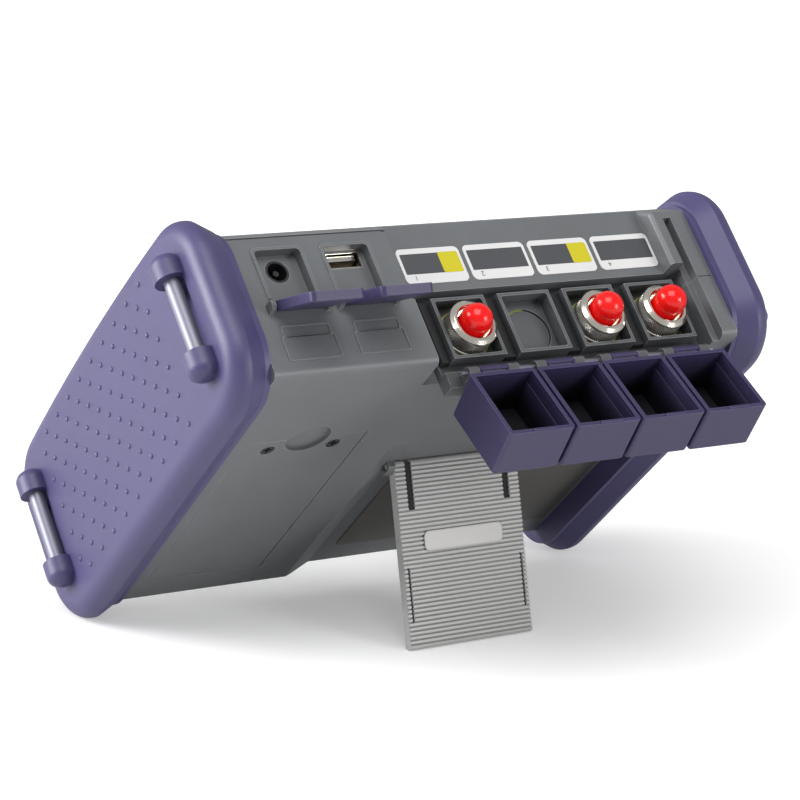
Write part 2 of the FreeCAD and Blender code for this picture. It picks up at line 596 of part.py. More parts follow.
def port_panel():
    """The insert that holds the bays: raised frames and the covers' hinge ears."""
    plate = box("panel_plate", ("-1 * panel_end", "panel_side"), ("panel_front", "rail_front"),
                (UNDER_PANEL, "panel_floor"))
    rail = box("hinge_rail", ("-1 * panel_end", "panel_side"),
               ("rail_front", "hinge_back + knuckle"), (UNDER_PANEL, "hinge_high - leaf_sweep"))
    parts, tools = [plate, rail], []
    for bay in BAYS:
        middle = bay_side(bay)
        half = "frame_wide / 2"
        parts.append(box(f"frame_{bay}", (f"{middle} - {half}", f"{middle} + {half}"),
                         ("frame_front", "frame_back"), ("panel_floor - 0.5", "frame_top")))
        pocket = box(f"pocket_{bay}_box", (f"{middle} - {half} + frame_wall",
                                           f"{middle} + {half} - frame_wall"),
                     ("frame_front + frame_wall", "frame_back - frame_wall"),
                     ("panel_floor", "frame_top + 1"))
        tools.append(soften(f"pocket_{bay}", pocket, "pocket_round", lambda edge: runs_along(edge, "z")))
        for tag, low in (("a", f"{middle} + leaf_wide / 2 + skin_gap"),
                         ("b", f"{middle} - leaf_wide / 2 - skin_gap - ear_wide")):
            parts.append(box(f"ear_{bay}{tag}", (low, f"{low} + ear_wide"),
                             ("hinge_back - knuckle", "hinge_back + knuckle"),
                             ("hinge_high - leaf_sweep - 0.5", "hinge_high")))
            parts.append(rod(f"ear_round_{bay}{tag}", "knuckle", "x",
                             (low, "hinge_back", "hinge_high"), "ear_wide"))
    tools.append(rod("ear_bore", "hinge_pin", "x", ("-1 * panel_end - 1", "hinge_back", "hinge_high"),
                     "panel_end + panel_side + 2"))
    blank = bay_side(2)
    tools.append(rod("blank_hole", "plug_radius", "z",
                     (blank, "port_back", "panel_floor - plug_thick - plug_sunk"), "plug_thick + plug_sunk + 1"))
    plug = rod("plug", "plug_radius - skin_gap", "z",
               (blank, "port_back", "panel_floor - plug_thick - plug_sunk"), "plug_thick")
    finish("blank_port_plug", plug)
    finish("port_panel", cut("panel_cut", join("panel_solid", parts), tools))
    finish("cover_hinge_pin", rod("pin", "hinge_pin", "x",
                                  ("-1 * panel_end + 2", "hinge_back", "hinge_high"),
                                  "panel_end + panel_side - 4"))


def port_cover(bay):
    """One swing cover, drawn shut: a deep box with its mouth down round the bay's frame."""
    middle, half = bay_side(bay), "(bay_pitch - cover_gap) / 2"
    outer = box(f"cover_{bay}_box", (f"{middle} - {half}", f"{middle} + {half}"),
                ("cover_front", "cover_back"), ("cover_rim", "cover_end"))
    end = worth("cover_end")
    outer = soften(f"cover_{bay}_round", outer, "cover_round",
                   lambda edge: lies_at(edge, "z", end) or runs_along(edge, "z"))
    inner = box(f"cover_{bay}_inner", (f"{middle} - {half} + cover_wall", f"{middle} + {half} - cover_wall"),
                ("cover_front + cover_wall", "cover_back - cover_wall"),
                ("cover_rim - 1", "cover_end - cover_wall"))
    shell = cut(f"cover_{bay}_shell", outer, [inner])
    low = f"{middle} - leaf_wide / 2"
    leaf = box(f"cover_{bay}_leaf", (low, f"{low} + leaf_wide"), ("cover_back - cover_wall / 2", "hinge_back"),
               ("hinge_high - knuckle * 0.7", "hinge_high + knuckle * 0.7"))
    barrel = rod(f"cover_{bay}_barrel", "knuckle", "x", (low, "hinge_back", "hinge_high"), "leaf_wide")
    solid = join(f"cover_{bay}_solid", [shell, leaf, barrel])
    bore = rod(f"cover_{bay}_bore", "hinge_pin + hinge_play", "x", (f"{low} - 1", "hinge_back", "hinge_high"),
               "leaf_wide + 2")
    hinge = (worth("hinge_back"), worth("hinge_high"), -worth("cover_open"))
    finish(f"port_cover_{bay}", cut(f"cover_{bay}_cut", solid, [bore]), hinge)


port_panel()
for bay in BAYS:
    port_cover(bay)


# ---------------------------------------------------------------- adapters, nuts and dust caps

def optical_port(port):
    """A bulkhead adapter with its ferrule sleeve, the knurled nut round it and a dust cap."""
    middle, lift = bay_side(port), f"lift_{port}"
    base = rod(f"adapter_{port}_base", "base_radius", "z", (middle, "port_back", "panel_floor"), "base_thick")
    barrel = rod(f"adapter_{port}_barrel", "barrel_radius", "z", (middle, "port_back", "panel_floor"),
                 "barrel_high")
    rim = worth("panel_floor + barrel_high")
    barrel = soften(f"adapter_{port}_lead", barrel, "0.4", lambda edge: lies_at(edge, "z", rim),
                    "Part::Chamfer")
    body = join(f"adapter_{port}_solid", [base, barrel])
    bore = rod(f"adapter_{port}_bore", "ferrule_bore", "z",
               (middle, "port_back", "panel_floor + barrel_high - ferrule_deep"), "ferrule_deep + 1")
    key = box(f"adapter_{port}_key", (f"{middle} - 1.1", f"{middle} + 1.1"),
              ("port_back - barrel_radius - 1", "port_back - barrel_radius + 1.2"),
              ("panel_floor + barrel_high - 3", "panel_floor + barrel_high + 1"))
    finish(f"fibre_adapter_{port}", cut(f"adapter_{port}_cut", body, [bore, key]))

    low = "(panel_floor + base_thick + skin_gap)"
    ring = rod(f"nut_{port}_ring", "nut_radius", "z", (middle, "port_back", low), "nut_high")
    ends = (worth(low), worth(low + " + nut_high"))
    ring = soften(f"nut_{port}_edges", ring, "nut_edge",
                  lambda edge: lies_at(edge, "z", ends[0]) or lies_at(edge, "z", ends[1]), "Part::Chamfer")
    mouth = rod(f"nut_{port}_mouth", "nut_mouth", "z", (middle, "port_back", f"{low} + nut_floor"), "nut_high")
    thread = rod(f"nut_{port}_thread", "barrel_radius + hinge_play", "z",
                 (middle, "port_back", f"{low} - 1"), "nut_high")
    finish(f"knurled_nut_{port}", cut(f"nut_{port}_cut", ring, [mouth, thread]))

    foot = f"({low} + nut_floor + skin_gap + {lift})"
    dome = f"(panel_floor + cap_dome + {lift})"
    skirt = rod(f"cap_{port}_skirt", "cap_radius", "z", (middle, "port_back", foot), f"{dome} - {foot}")
    top = ball(f"cap_{port}_dome", "cap_radius", (middle, "port_back", dome))
    hole = rod(f"cap_{port}_hole", "barrel_radius + cap_grip", "z", (middle, "port_back", f"{foot} - 1"),
               f"panel_floor + barrel_high + skin_gap + {lift} - {foot} + 1")
    cap = cut(f"cap_{port}_cut", join(f"cap_{port}_solid", [skirt, top]), [hole])
    finish(f"dust_cap_{port}", cap)


for port in PORTS:
    optical_port(port)


# ---------------------------------------------------------------- power and data sockets, flaps

def power_jack():
    """A round power socket with its centre pin."""
    low = "(port_end - recess_deep - power_deep)"
    body = rod("jack_body", "power_outer - skin_gap / 3", "z", ("power_side", RECESS, low), "power_deep")
    bore = rod("jack_bore", "power_bore", "z", ("power_side", RECESS, f"{low} + 1"), "power_deep")
    pin = rod("jack_pin", "power_pin", "z", ("power_side", RECESS, f"{low} + 0.5"), "power_deep - 1.5")
    finish("power_jack", join("jack_solid", [cut("jack_cut", body, [bore]), pin]))


def data_port():
    """A standard type A socket: folded metal shell and the contact tongue."""
    low = "(port_end - recess_deep - data_deep)"
    middle = DATA_MIDDLE
    half, tall = "(data_wide - skin_gap / 3) / 2", "(data_high - skin_gap / 3) / 2"
    body = box("data_body", (f"data_side - {half}", f"data_side + {half}"),
               (f"{middle} - {tall}", f"{middle} + {tall}"), (low, f"{low} + data_deep"))
    room = box("data_room", (f"data_side - {half} + data_shell", f"data_side + {half} - data_shell"),
               (f"{middle} - {tall} + data_shell", f"{middle} + {tall} - data_shell"),
               (f"{low} + 1", "port_end"))
    tongue = box("data_tongue_box", ("data_side - data_wide / 2 + 1.2", "data_side + data_wide / 2 - 1.2"),
                 (f"{middle} - {tall} + 0.9", f"{middle} - {tall} + 0.9 + data_tongue"),
                 (f"{low} + 0.5", f"{low} + data_deep - 1"))
    finish("data_port", join("data_solid", [cut("data_cut", body, [room]), tongue]))


def flap(name, side):
    """A socket flap, drawn shut on its lip: hollow plate, rounded barrel end and trunnions."""
    span = (f"{side} - flap_wide / 2", f"{side} + flap_wide / 2")
    plate = box(f"{name}_plate_box", span, ("flap_front", "flap_axis"),
                (FLAP_LOW, f"{FLAP_LOW} + flap_thick"))
    front, top = worth("flap_front"), worth(f"{FLAP_LOW} + flap_thick")
    plate = soften(f"{name}_plate", plate, "recess_round", lambda edge: runs_along(edge, "z")
                   and edge.BoundBox.YMax < front + 1)
    plate = soften(f"{name}_edges", plate, "nut_edge", lambda edge: lies_at(edge, "z", top)
                   and edge.BoundBox.YMin < worth("flap_axis") - 1)
    hollow = box(f"{name}_hollow", (f"{side} - flap_wide / 2 + flap_wall", f"{side} + flap_wide / 2 - flap_wall"),
                 ("flap_front + flap_wall", "flap_axis - flap_thick"),
                 (f"{FLAP_LOW} - 1", f"{FLAP_LOW} + flap_thick - flap_wall"))
    barrel = rod(f"{name}_barrel", "flap_thick / 2", "x", (span[0], "flap_axis", FLAP_HIGH), "flap_wide")
    pins = rod(f"{name}_pins", "flap_pin", "x", (f"{span[0]} - flap_ear", "flap_axis", FLAP_HIGH),
               "flap_wide + 2 * flap_ear")
    solid = join(f"{name}_solid", [cut(f"{name}_hollowed", plate, [hollow]), barrel, pins])
    hinge = (worth("flap_axis"), worth(FLAP_HIGH), -worth("flap_open"))
    finish(f"{name}_flap", solid, hinge)


power_jack()
data_port()
for name, side in sockets():
    flap(name, side)


# ---------------------------------------------------------------- stand

def stand():
    """The stand, drawn folded: ribbed plate with slots that spring its trunnion arms."""
    left, right = "stand_side", "(stand_side - stand_wide)"
    low = "(stand_high - stand_long)"
    span = (right, left)
    face = "(stand_axis + stand_thick / 2)"
    plate = box("stand_plate_box", span, ("stand_axis - stand_thick / 2", face), (low, "stand_high"))
    foot = worth(low)
    plate = soften("stand_plate", plate, "stand_thick * 0.45",
                   lambda edge: runs_along(edge, "x") and lies_at(edge, "z", foot))
    barrel = rod("stand_barrel", "stand_thick / 2", "x", (right, "stand_axis", "stand_high"), "stand_wide")
    pins = rod("stand_pins", "trunnion", "x", (f"{right} - trunnion_long", "stand_axis", "stand_high"),
               "stand_wide + 2 * trunnion_long")
    solid = join("stand_solid", [plate, barrel, pins])
    tools = []
    for tag, low_side in (("left", f"{left} - slot_inset - slot_wide"), ("right", f"{right} + slot_inset")):
        tools.append(box(f"stand_slot_{tag}", (low_side, f"{low_side} + slot_wide"),
                         ("stand_axis - stand_thick", "stand_axis + stand_thick"),
                         ("stand_high - slot_long", "stand_high + stand_thick")))
    for tag, low_side in (("left", f"{left} - slit_inset - slit_wide"), ("right", f"{right} + slit_inset")):
        tools.append(box(f"stand_slit_{tag}", (low_side, f"{low_side} + slit_wide"),
                         ("stand_axis - stand_thick", "stand_axis + stand_thick"),
                         (f"{low} + slit_up", f"{low} + slit_up + lower_slit")))
    count = int(worth("(stand_long + stand_thick / 2) / rib_pitch"))
    for number in range(1, count):
        tools.append(box(f"stand_groove_{number}", (right + " - 1", left + " + 1"),
                         (f"{face} - rib_deep", f"{face} + 1"),
                         (f"{low} + {number} * rib_pitch", f"{low} + ({number} + rib_gap) * rib_pitch")))
    ribbed = cut("stand_ribbed", solid, tools)
    label = box("stand_pad_box", (f"{right} + pad_inset", f"{left} - pad_inset"),
                (f"{face} - 2 * rib_deep", f"{face} + pad_proud"),
                (f"{low} + pad_low", f"{low} + pad_low + pad_high"))
    label = soften("stand_pad", label, "pad_round", lambda edge: runs_along(edge, "y"))
    finish("stand", join("stand_whole", [ribbed, label]),
           (worth("stand_axis"), worth("stand_high"), worth("stand_open")))


stand()


# ---------------------------------------------------------------- labels, screen and keys

def labels():
    """Four thin port labels on the shelf and the plate in the recess."""
    plates = []
    for number in BAYS:
        middle = f"({bay_side(number)} + label_shift)"
        plate = box(f"label_{number}_box", (f"{middle} - label_wide / 2", f"{middle} + label_wide / 2"),
                    ("label_front", "label_front + label_high"), ("shelf", "shelf + label_thick"))
        plates.append(soften(f"label_{number}", plate, "label_round", lambda edge: runs_along(edge, "z")))
    group = doc.addObject("Part::Compound", "label_group")
    group.Links = plates
    finish("port_labels", group)
    plate = box("rating_box", ("plate_right", "plate_left"), ("recess_floor", "recess_floor + label_thick"),
                ("plate_low", "plate_high"))
    finish("rating_plate", soften("rating", plate, "label_round", lambda edge: runs_along(edge, "y")))


def screen():
    """Touch lens set into the front face, with the display module behind it."""
    lens = window("lens_box", "lens_side", "lens_up", "lens_wide", "lens_high", "front_face",
                  "front_face + lens_thick")
    finish("screen_lens", soften("lens", lens, "lens_round", lambda edge: runs_along(edge, "y")))
    module = window("display", "lens_side", "lens_up", "glass_wide - 2", "glass_high - 2",
                    "front_face + lens_thick", "front_face + lens_thick + display_thick")
    finish("display_module", soften("display_round", module, "0.8", lambda edge: runs_along(edge, "y")))


def keys():
    """Each key stands a little proud of the front face over a sealed rubber mat."""
    face = worth("front_face - key_proud")
    for name in KEYS:
        x, z = key_place(name)
        cap = window(f"key_{name}_box", x, z, "key_wide", "key_high", "front_face - key_proud",
                     "front_face - key_proud + key_thick")
        cap = soften(f"key_{name}_sides", cap, "key_round", lambda edge: runs_along(edge, "y"))
        cap = soften(f"key_{name}_top", cap, "0.4", lambda edge: lies_at(edge, "y", face))
        finish(f"key_{name}", cap)
    middle = rod("key_ok_rod", "ok_radius", "y", ("key_side", "front_face - key_proud", "pad_middle"),
                 "key_thick")
    finish("key_ok", soften("key_ok_top", middle, "0.4", lambda edge: lies_at(edge, "y", face)))
    low = "(front_face - key_proud + key_thick + key_travel + mat_gap)"
    mat = box("mat_box", ("key_side - 1.5 * pad_step", "key_side + 1.5 * pad_step"),
              (low, f"{low} + mat_thick"), ("pad_middle - 3 * pad_step", f"{UNDER_PANEL} - wall - skin_gap"))
    finish("keypad_mat", soften("mat", mat, "1.5", lambda edge: runs_along(edge, "y")))


labels()
screen()
keys()


# ---------------------------------------------------------------- inner parts

def inner_parts():
    """Main board against the parting plane and the optical module that feeds the ports."""
    board = box("board_box", ("wall * 2 - half_body", "lid_right - 4"),
                ("board_depth", "board_depth + board_thick"), ("foot_line + 16", "shelf - 17"))
    finish("main_board", soften("board", board, "2", lambda edge: runs_along(edge, "y")))
    module = box("module_box", ("-1 * module_wide + first_bay + 4", "first_bay + 4"),
                 ("board_depth + board_thick", "board_depth + board_thick + module_thick"),
                 (f"{UNDER_PANEL} - wall - module_high - 1", f"{UNDER_PANEL} - wall - 1"))
    finish("optical_module", soften("module", module, "1", lambda edge: runs_along(edge, "y")))


inner_parts()


# ---------------------------------------------------------------- stance and output

def lean():
    """The angle at which the bumpers' rounded corners and the stand's foot share one floor."""
    angle = math.radians(worth("stand_open"))
    reach = worth("stand_long - stand_thick * 0.45")
    foot_y = worth("stand_axis") + reach * math.sin(angle)
    foot_z = worth("stand_high") - reach * math.cos(angle)
    round_y, round_z = worth("deep - corner"), worth("corner")
    across, up = foot_y - round_y, foot_z - round_z
    rise = worth("corner - stand_thick / 2") / math.hypot(across, up)
    return math.atan2(up, across) + math.asin(rise)


def swung(swing):
    """The turn about its hinge that opens a piece drawn shut."""
    if swing is None:
        return FreeCAD.Placement()
    y, z, degrees = swing
    turn = FreeCAD.Rotation(FreeCAD.Vector(1, 0, 0), degrees)
    return FreeCAD.Placement(FreeCAD.Vector(), turn, FreeCAD.Vector(0, y, z))


def stand_up():
    """Give every piece its stance, then shift all so that the origin is under the middle."""
    tilt = FreeCAD.Placement(FreeCAD.Vector(), FreeCAD.Rotation(FreeCAD.Vector(1, 0, 0),
                                                               -math.degrees(lean())))
    doc.recompute()
    limits = FreeCAD.BoundBox()
    for item, swing in STANCES.values():
        item.Placement = tilt.multiply(swung(swing))
        limits.add(item.Shape.optimalBoundingBox(False))
    shift = FreeCAD.Vector(-limits.Center.x, -limits.Center.y, -limits.ZMin)
    for item, swing in STANCES.values():
        item.Placement = FreeCAD.Placement(shift, FreeCAD.Rotation()).multiply(item.Placement)
    doc.recompute()
    print("lean", round(math.degrees(lean()), 2), "shift", shift, "size", limits)


stand_up()
for item in doc.Objects:
    assert not {"Invalid", "Error"} & set(item.State), item.Name + " did not compute"
for label, (item, swing) in STANCES.items():
    assert not item.Shape.isNull() and item.Shape.isValid(), label + " is not a valid shape"
os.makedirs("parts", exist_ok=True)
for label, (item, swing) in STANCES.items():
    item.Shape.exportStep(f"parts/{label}.step")
print(len(STANCES), "pieces written")
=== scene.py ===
# %% [markdown]
# # A hand-held fibre test set, dressed for its portrait
#
# The set is an optical time domain reflectometer: a screen and keys on one side, fibre ports
# under swing covers at one end, a fold-out stand at the back and a soft bumper at each end.
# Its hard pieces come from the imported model, each as a node with its true shape.  This file
# gives every node its finish, adds the small mouldings that a plain solid lacks, and sets up
# the light and the camera.

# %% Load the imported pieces
import bpy
import bmesh
import json
import math
from mathutils import Matrix, Vector


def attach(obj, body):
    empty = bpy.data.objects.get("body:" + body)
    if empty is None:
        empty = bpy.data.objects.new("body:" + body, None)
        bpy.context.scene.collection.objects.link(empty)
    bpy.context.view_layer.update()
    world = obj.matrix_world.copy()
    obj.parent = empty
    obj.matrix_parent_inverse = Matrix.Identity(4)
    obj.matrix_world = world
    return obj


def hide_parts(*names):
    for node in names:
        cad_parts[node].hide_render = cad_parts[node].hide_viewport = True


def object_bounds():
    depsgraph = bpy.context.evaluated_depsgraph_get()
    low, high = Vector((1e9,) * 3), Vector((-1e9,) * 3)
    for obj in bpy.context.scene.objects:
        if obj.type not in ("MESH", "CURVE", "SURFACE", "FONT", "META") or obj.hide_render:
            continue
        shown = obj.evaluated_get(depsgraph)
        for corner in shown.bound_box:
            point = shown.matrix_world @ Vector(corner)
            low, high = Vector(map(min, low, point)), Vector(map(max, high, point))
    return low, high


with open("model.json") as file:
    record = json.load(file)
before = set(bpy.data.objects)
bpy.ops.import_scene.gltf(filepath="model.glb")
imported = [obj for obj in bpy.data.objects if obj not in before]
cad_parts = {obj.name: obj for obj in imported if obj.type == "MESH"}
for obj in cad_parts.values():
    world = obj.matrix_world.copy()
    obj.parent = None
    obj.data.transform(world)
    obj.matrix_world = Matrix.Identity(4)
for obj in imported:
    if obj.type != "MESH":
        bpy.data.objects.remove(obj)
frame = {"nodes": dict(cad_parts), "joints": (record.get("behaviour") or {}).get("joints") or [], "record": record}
packed_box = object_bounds()
print(len(frame["nodes"]), "nodes, box", packed_box)

# %% [markdown]
# ## The set's own directions
#
# The set leans back on its stand, so nothing on it runs along the world's axes.  Sizes are far
# easier to read in the set's own directions: x from bumper to bumper, y from the screen to the
# back, z from the bottom end to the port end, in millimetres.  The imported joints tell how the
# set leans: a dust cap pulls off along z, a key presses in along y, and the stand's hinge is at
# a known place.  One matrix made from them takes any finished mesh to its place.

# %% A matrix from set millimetres to world metres
joints = {joint["name"]: joint for joint in frame["joints"]}
along_y = Vector(joints["key_ok_press"]["axis"]).normalized()
along_z = Vector(joints["dust_cap_1_pull"]["axis"]).normalized()
STAND_AXIS = (60.6, 86.0)  # the stand's hinge along y and z
start = (Vector(joints["stand_fold"]["pos_m"])
         - (along_y * STAND_AXIS[0] + along_z * STAND_AXIS[1]) / 1000)
DEVICE = Matrix.Translation(start) @ Matrix((
    (0.001, 0, 0, 0),
    (0, along_y.y / 1000, along_z.y / 1000, 0),
    (0, along_y.z / 1000, along_z.z / 1000, 0),
    (0, 0, 0, 1)))
print("lean in degrees", round(math.degrees(math.atan2(-along_y.z, along_y.y)), 2))

# %% [markdown]
# ## Finishes, built from a few shared effects
#
# Almost everything here is moulded: rubber bumpers, textured housing shells, satin covers.  What
# sets them apart is colour, how fine the grain is, how much the edges have been rubbed and catch
# painted highlights, and how much painted shade lies in the hollows.  Those effects are shader node
# groups with named inputs, so each material only states its own values.

# %% Helpers for node groups
def new_group(name, inputs, outputs):
    """An empty shader group with named sockets; returns the tree and its two end nodes."""
    tree = bpy.data.node_groups.new(name, "ShaderNodeTree")
    for label, kind, value in inputs:
        socket = tree.interface.new_socket(label, in_out="INPUT", socket_type=kind)
        socket.default_value = value
    for label, kind in outputs:
        tree.interface.new_socket(label, in_out="OUTPUT", socket_type=kind)
    return tree, tree.nodes.new("NodeGroupInput"), tree.nodes.new("NodeGroupOutput")


def node(tree, kind, links=None, **settings):
    """Add a node, set its properties and join or fill its inputs."""
    item = tree.nodes.new(kind)
    for key, value in settings.items():
        setattr(item, key, value)
    for key, value in (links or {}).items():
        if isinstance(value, bpy.types.NodeSocket):
            tree.links.new(value, item.inputs[key])
        else:
            item.inputs[key].default_value = value
    return item


# where the Mix node keeps its colour sockets
MIX_FACTOR, MIX_FIRST, MIX_SECOND, MIX_RESULT = 0, 6, 7, 2
print("helpers for node groups are ready")

# %% [markdown]
# ### Moulding grain
#
# A mould tool is etched so that the plastic comes out with a fine pebble.  Two sizes of noise on
# object coordinates make it: the fine one gives the bump, the broad one a faint change of shade
# where hands and cloths have been.

# %% The moulding grain group
tree, given, out = new_group(
    "Moulding grain",
    [("Colour", "NodeSocketColor", (0.5, 0.5, 0.5, 1)), ("Grain size", "NodeSocketFloat", 0.5),
     ("Grain depth", "NodeSocketFloat", 0.3), ("Roughness", "NodeSocketFloat", 0.5),
     ("Shade", "NodeSocketFloat", 0.06)],
    [("Colour", "NodeSocketColor"), ("Roughness", "NodeSocketFloat"), ("Normal", "NodeSocketVector")])
place = node(tree, "ShaderNodeTexCoord").outputs["Object"]
per_metre = node(tree, "ShaderNodeMath", {0: 1000.0, 1: given.outputs["Grain size"]},
                 operation="DIVIDE").outputs[0]
fine = node(tree, "ShaderNodeTexNoise", {"Vector": place, "Scale": per_metre, "Detail": 2.0})
broad = node(tree, "ShaderNodeTexNoise", {"Vector": place, "Scale": 38.0, "Detail": 4.0,
                                          "Roughness": 0.6})
bump = node(tree, "ShaderNodeBump", {"Height": fine.outputs["Fac"], "Distance": 0.0002,
                                     "Strength": given.outputs["Grain depth"]})
sway = node(tree, "ShaderNodeMapRange", {"Value": broad.outputs["Fac"], "From Min": 0.3, "From Max": 0.7,
                                         "To Min": -1.0, "To Max": 1.0})
speck = node(tree, "ShaderNodeMapRange", {"Value": fine.outputs["Fac"], "From Min": 0.3, "From Max": 0.7,
                                          "To Min": -0.6, "To Max": 0.6})
both = node(tree, "ShaderNodeMath", {0: sway.outputs[0], 1: speck.outputs[0]}, operation="ADD")
amount = node(tree, "ShaderNodeMath", {0: both.outputs[0], 1: given.outputs["Shade"]},
              operation="MULTIPLY")
factor = node(tree, "ShaderNodeMath", {0: amount.outputs[0], 1: 1.0}, operation="ADD")
shaded = node(tree, "ShaderNodeVectorMath", {0: given.outputs["Colour"]}, operation="SCALE")
tree.links.new(factor.outputs[0], shaded.inputs["Scale"])
rubbed = node(tree, "ShaderNodeMath", {0: sway.outputs[0], 1: 0.05, 2: given.outputs["Roughness"]},
              operation="MULTIPLY_ADD")
tree.links.new(shaded.outputs[0], out.inputs["Colour"])
tree.links.new(rubbed.outputs[0], out.inputs["Roughness"])
tree.links.new(bump.outputs["Normal"], out.inputs["Normal"])
GRAIN = tree
print(GRAIN.name, "has", len(GRAIN.nodes), "nodes")

# %% [markdown]
# ### Rubbed edges and painted highlights
#
# The edges of a tool that is carried about go a little paler and smoother, and the same paler colour
# also paints the highlights that edges catch.  The Bevel node looks at how much the surface turns
# within a small radius; compared with the true normal it gives a mask that is white on edges and
# black on flats.

# %% The rubbed edge and painted highlight group
tree, given, out = new_group(
    "Rubbed edges and painted highlights",
    [("Colour", "NodeSocketColor", (0.5, 0.5, 0.5, 1)),
     ("Edge colour", "NodeSocketColor", (0.7, 0.7, 0.7, 1)), ("Width", "NodeSocketFloat", 0.0008),
     ("Amount", "NodeSocketFloat", 0.5)],
    [("Colour", "NodeSocketColor"), ("Mask", "NodeSocketFloat")])
turned = node(tree, "ShaderNodeBevel", {"Radius": given.outputs["Width"]}, samples=4)
flat = node(tree, "ShaderNodeNewGeometry")
alike = node(tree, "ShaderNodeVectorMath", {0: turned.outputs[0], 1: flat.outputs["Normal"]},
             operation="DOT_PRODUCT")
edge = node(tree, "ShaderNodeMapRange", {"Value": alike.outputs["Value"], "From Min": 0.985,
                                         "From Max": 0.80})
patchy = node(tree, "ShaderNodeTexNoise", {"Vector": node(tree, "ShaderNodeTexCoord").outputs["Object"],
                                           "Scale": 160.0, "Detail": 3.0})
some = node(tree, "ShaderNodeMath", {0: edge.outputs[0], 1: patchy.outputs["Fac"]}, operation="MULTIPLY")
mask = node(tree, "ShaderNodeMath", {0: some.outputs[0], 1: given.outputs["Amount"]},
            operation="MULTIPLY", use_clamp=True)
# the paler edge colour stands for rubbed wear and also paints the highlights that edges catch
paler = node(tree, "ShaderNodeMix", data_type="RGBA")
tree.links.new(mask.outputs[0], paler.inputs[MIX_FACTOR])
tree.links.new(given.outputs["Colour"], paler.inputs[MIX_FIRST])
tree.links.new(given.outputs["Edge colour"], paler.inputs[MIX_SECOND])
tree.links.new(paler.outputs[MIX_RESULT], out.inputs["Colour"])
tree.links.new(mask.outputs[0], out.inputs["Mask"])
RUBBED_AND_HIGHLIT = tree
print(RUBBED_AND_HIGHLIT.name, "has", len(RUBBED_AND_HIGHLIT.nodes), "nodes")

# %% [markdown]
# ### Painted shade in hollows
#
# Grooves see little light, and this group paints that shade into the colour.  The Ambient Occlusion
# node measures how open each point is within a short distance, and the group darkens the colour where
# it is closed in.

# %% The painted hollow shade group
tree, given, out = new_group(
    "Painted hollow shade",
    [("Colour", "NodeSocketColor", (0.5, 0.5, 0.5, 1)), ("Reach", "NodeSocketFloat", 0.001),
     ("Amount", "NodeSocketFloat", 0.5)],
    [("Colour", "NodeSocketColor")])
# painted shade: darker where the surface is closed in
openness = node(tree, "ShaderNodeAmbientOcclusion", {"Distance": given.outputs["Reach"]}, samples=6)
closed = node(tree, "ShaderNodeMapRange", {"Value": openness.outputs["AO"], "From Min": 1.0,
                                           "From Max": 0.35})
less = node(tree, "ShaderNodeMath", {0: closed.outputs[0], 1: given.outputs["Amount"]},
            operation="MULTIPLY")
keep = node(tree, "ShaderNodeMath", {0: 1.0, 1: less.outputs[0]}, operation="SUBTRACT", use_clamp=True)
dimmed = node(tree, "ShaderNodeVectorMath", {0: given.outputs["Colour"]}, operation="SCALE")
tree.links.new(keep.outputs[0], dimmed.inputs["Scale"])
tree.links.new(dimmed.outputs[0], out.inputs["Colour"])
HOLLOW_SHADE = tree
print(HOLLOW_SHADE.name, "has", len(HOLLOW_SHADE.nodes), "nodes")

# %% [markdown]
# ### The materials themselves
#
# Each material places the grain group, and most add after it the edge group, whose paler edges stand
# for wear and painted highlights, the hollow shade group, which paints shade into grooves, or both.
# The Principled shader stays in the material.  Colours are written as linear values.

# %% One maker for moulded finishes
def moulded(name, colour, roughness, grain=0.5, depth=0.3, shade=0.06, edge=None, edge_rub_and_highlight=0.6,
            width=0.0007, metallic=0.0, coat=0.0, specular=0.5, hollow_shade=0.0, within=0.001):
    """A moulded or plated finish: grain, then paler edges for wear and painted highlights, then painted shade in
    hollows.
    """
    made = bpy.data.materials.new(name)
    made.use_nodes = True
    tree = made.node_tree
    shader = tree.nodes["Principled BSDF"]
    grained = node(tree, "ShaderNodeGroup", node_tree=GRAIN)
    for key, value in (("Colour", (*colour, 1)), ("Grain size", grain), ("Grain depth", depth),
                       ("Roughness", roughness), ("Shade", shade)):
        grained.inputs[key].default_value = value
    colour_out = grained.outputs["Colour"]
    if edge:
        rubbed = node(tree, "ShaderNodeGroup", node_tree=RUBBED_AND_HIGHLIT)
        tree.links.new(colour_out, rubbed.inputs["Colour"])
        rubbed.inputs["Edge colour"].default_value = (*edge, 1)
        rubbed.inputs["Width"].default_value = width
        rubbed.inputs["Amount"].default_value = edge_rub_and_highlight
        colour_out = rubbed.outputs["Colour"]
    if hollow_shade:
        dark = node(tree, "ShaderNodeGroup", node_tree=HOLLOW_SHADE)
        tree.links.new(colour_out, dark.inputs["Colour"])
        dark.inputs["Reach"].default_value = within
        dark.inputs["Amount"].default_value = hollow_shade
        colour_out = dark.outputs["Colour"]
    tree.links.new(colour_out, shader.inputs["Base Color"])
    tree.links.new(grained.outputs["Roughness"], shader.inputs["Roughness"])
    tree.links.new(grained.outputs["Normal"], shader.inputs["Normal"])
    shader.inputs["Metallic"].default_value = metallic
    shader.inputs["Coat Weight"].default_value = coat
    shader.inputs["Specular IOR Level"].default_value = specular
    return made


print("a maker for moulded finishes is ready")

# %% [markdown]
# ### Painted shade inside the covers
#
# A cover's inside gets painted shade, from indigo at the mouth to almost black at the bottom.  The
# pieces in there carry a vertex attribute, `depth`, that runs from 0 to 1, and the shade liner's colour
# follows it.

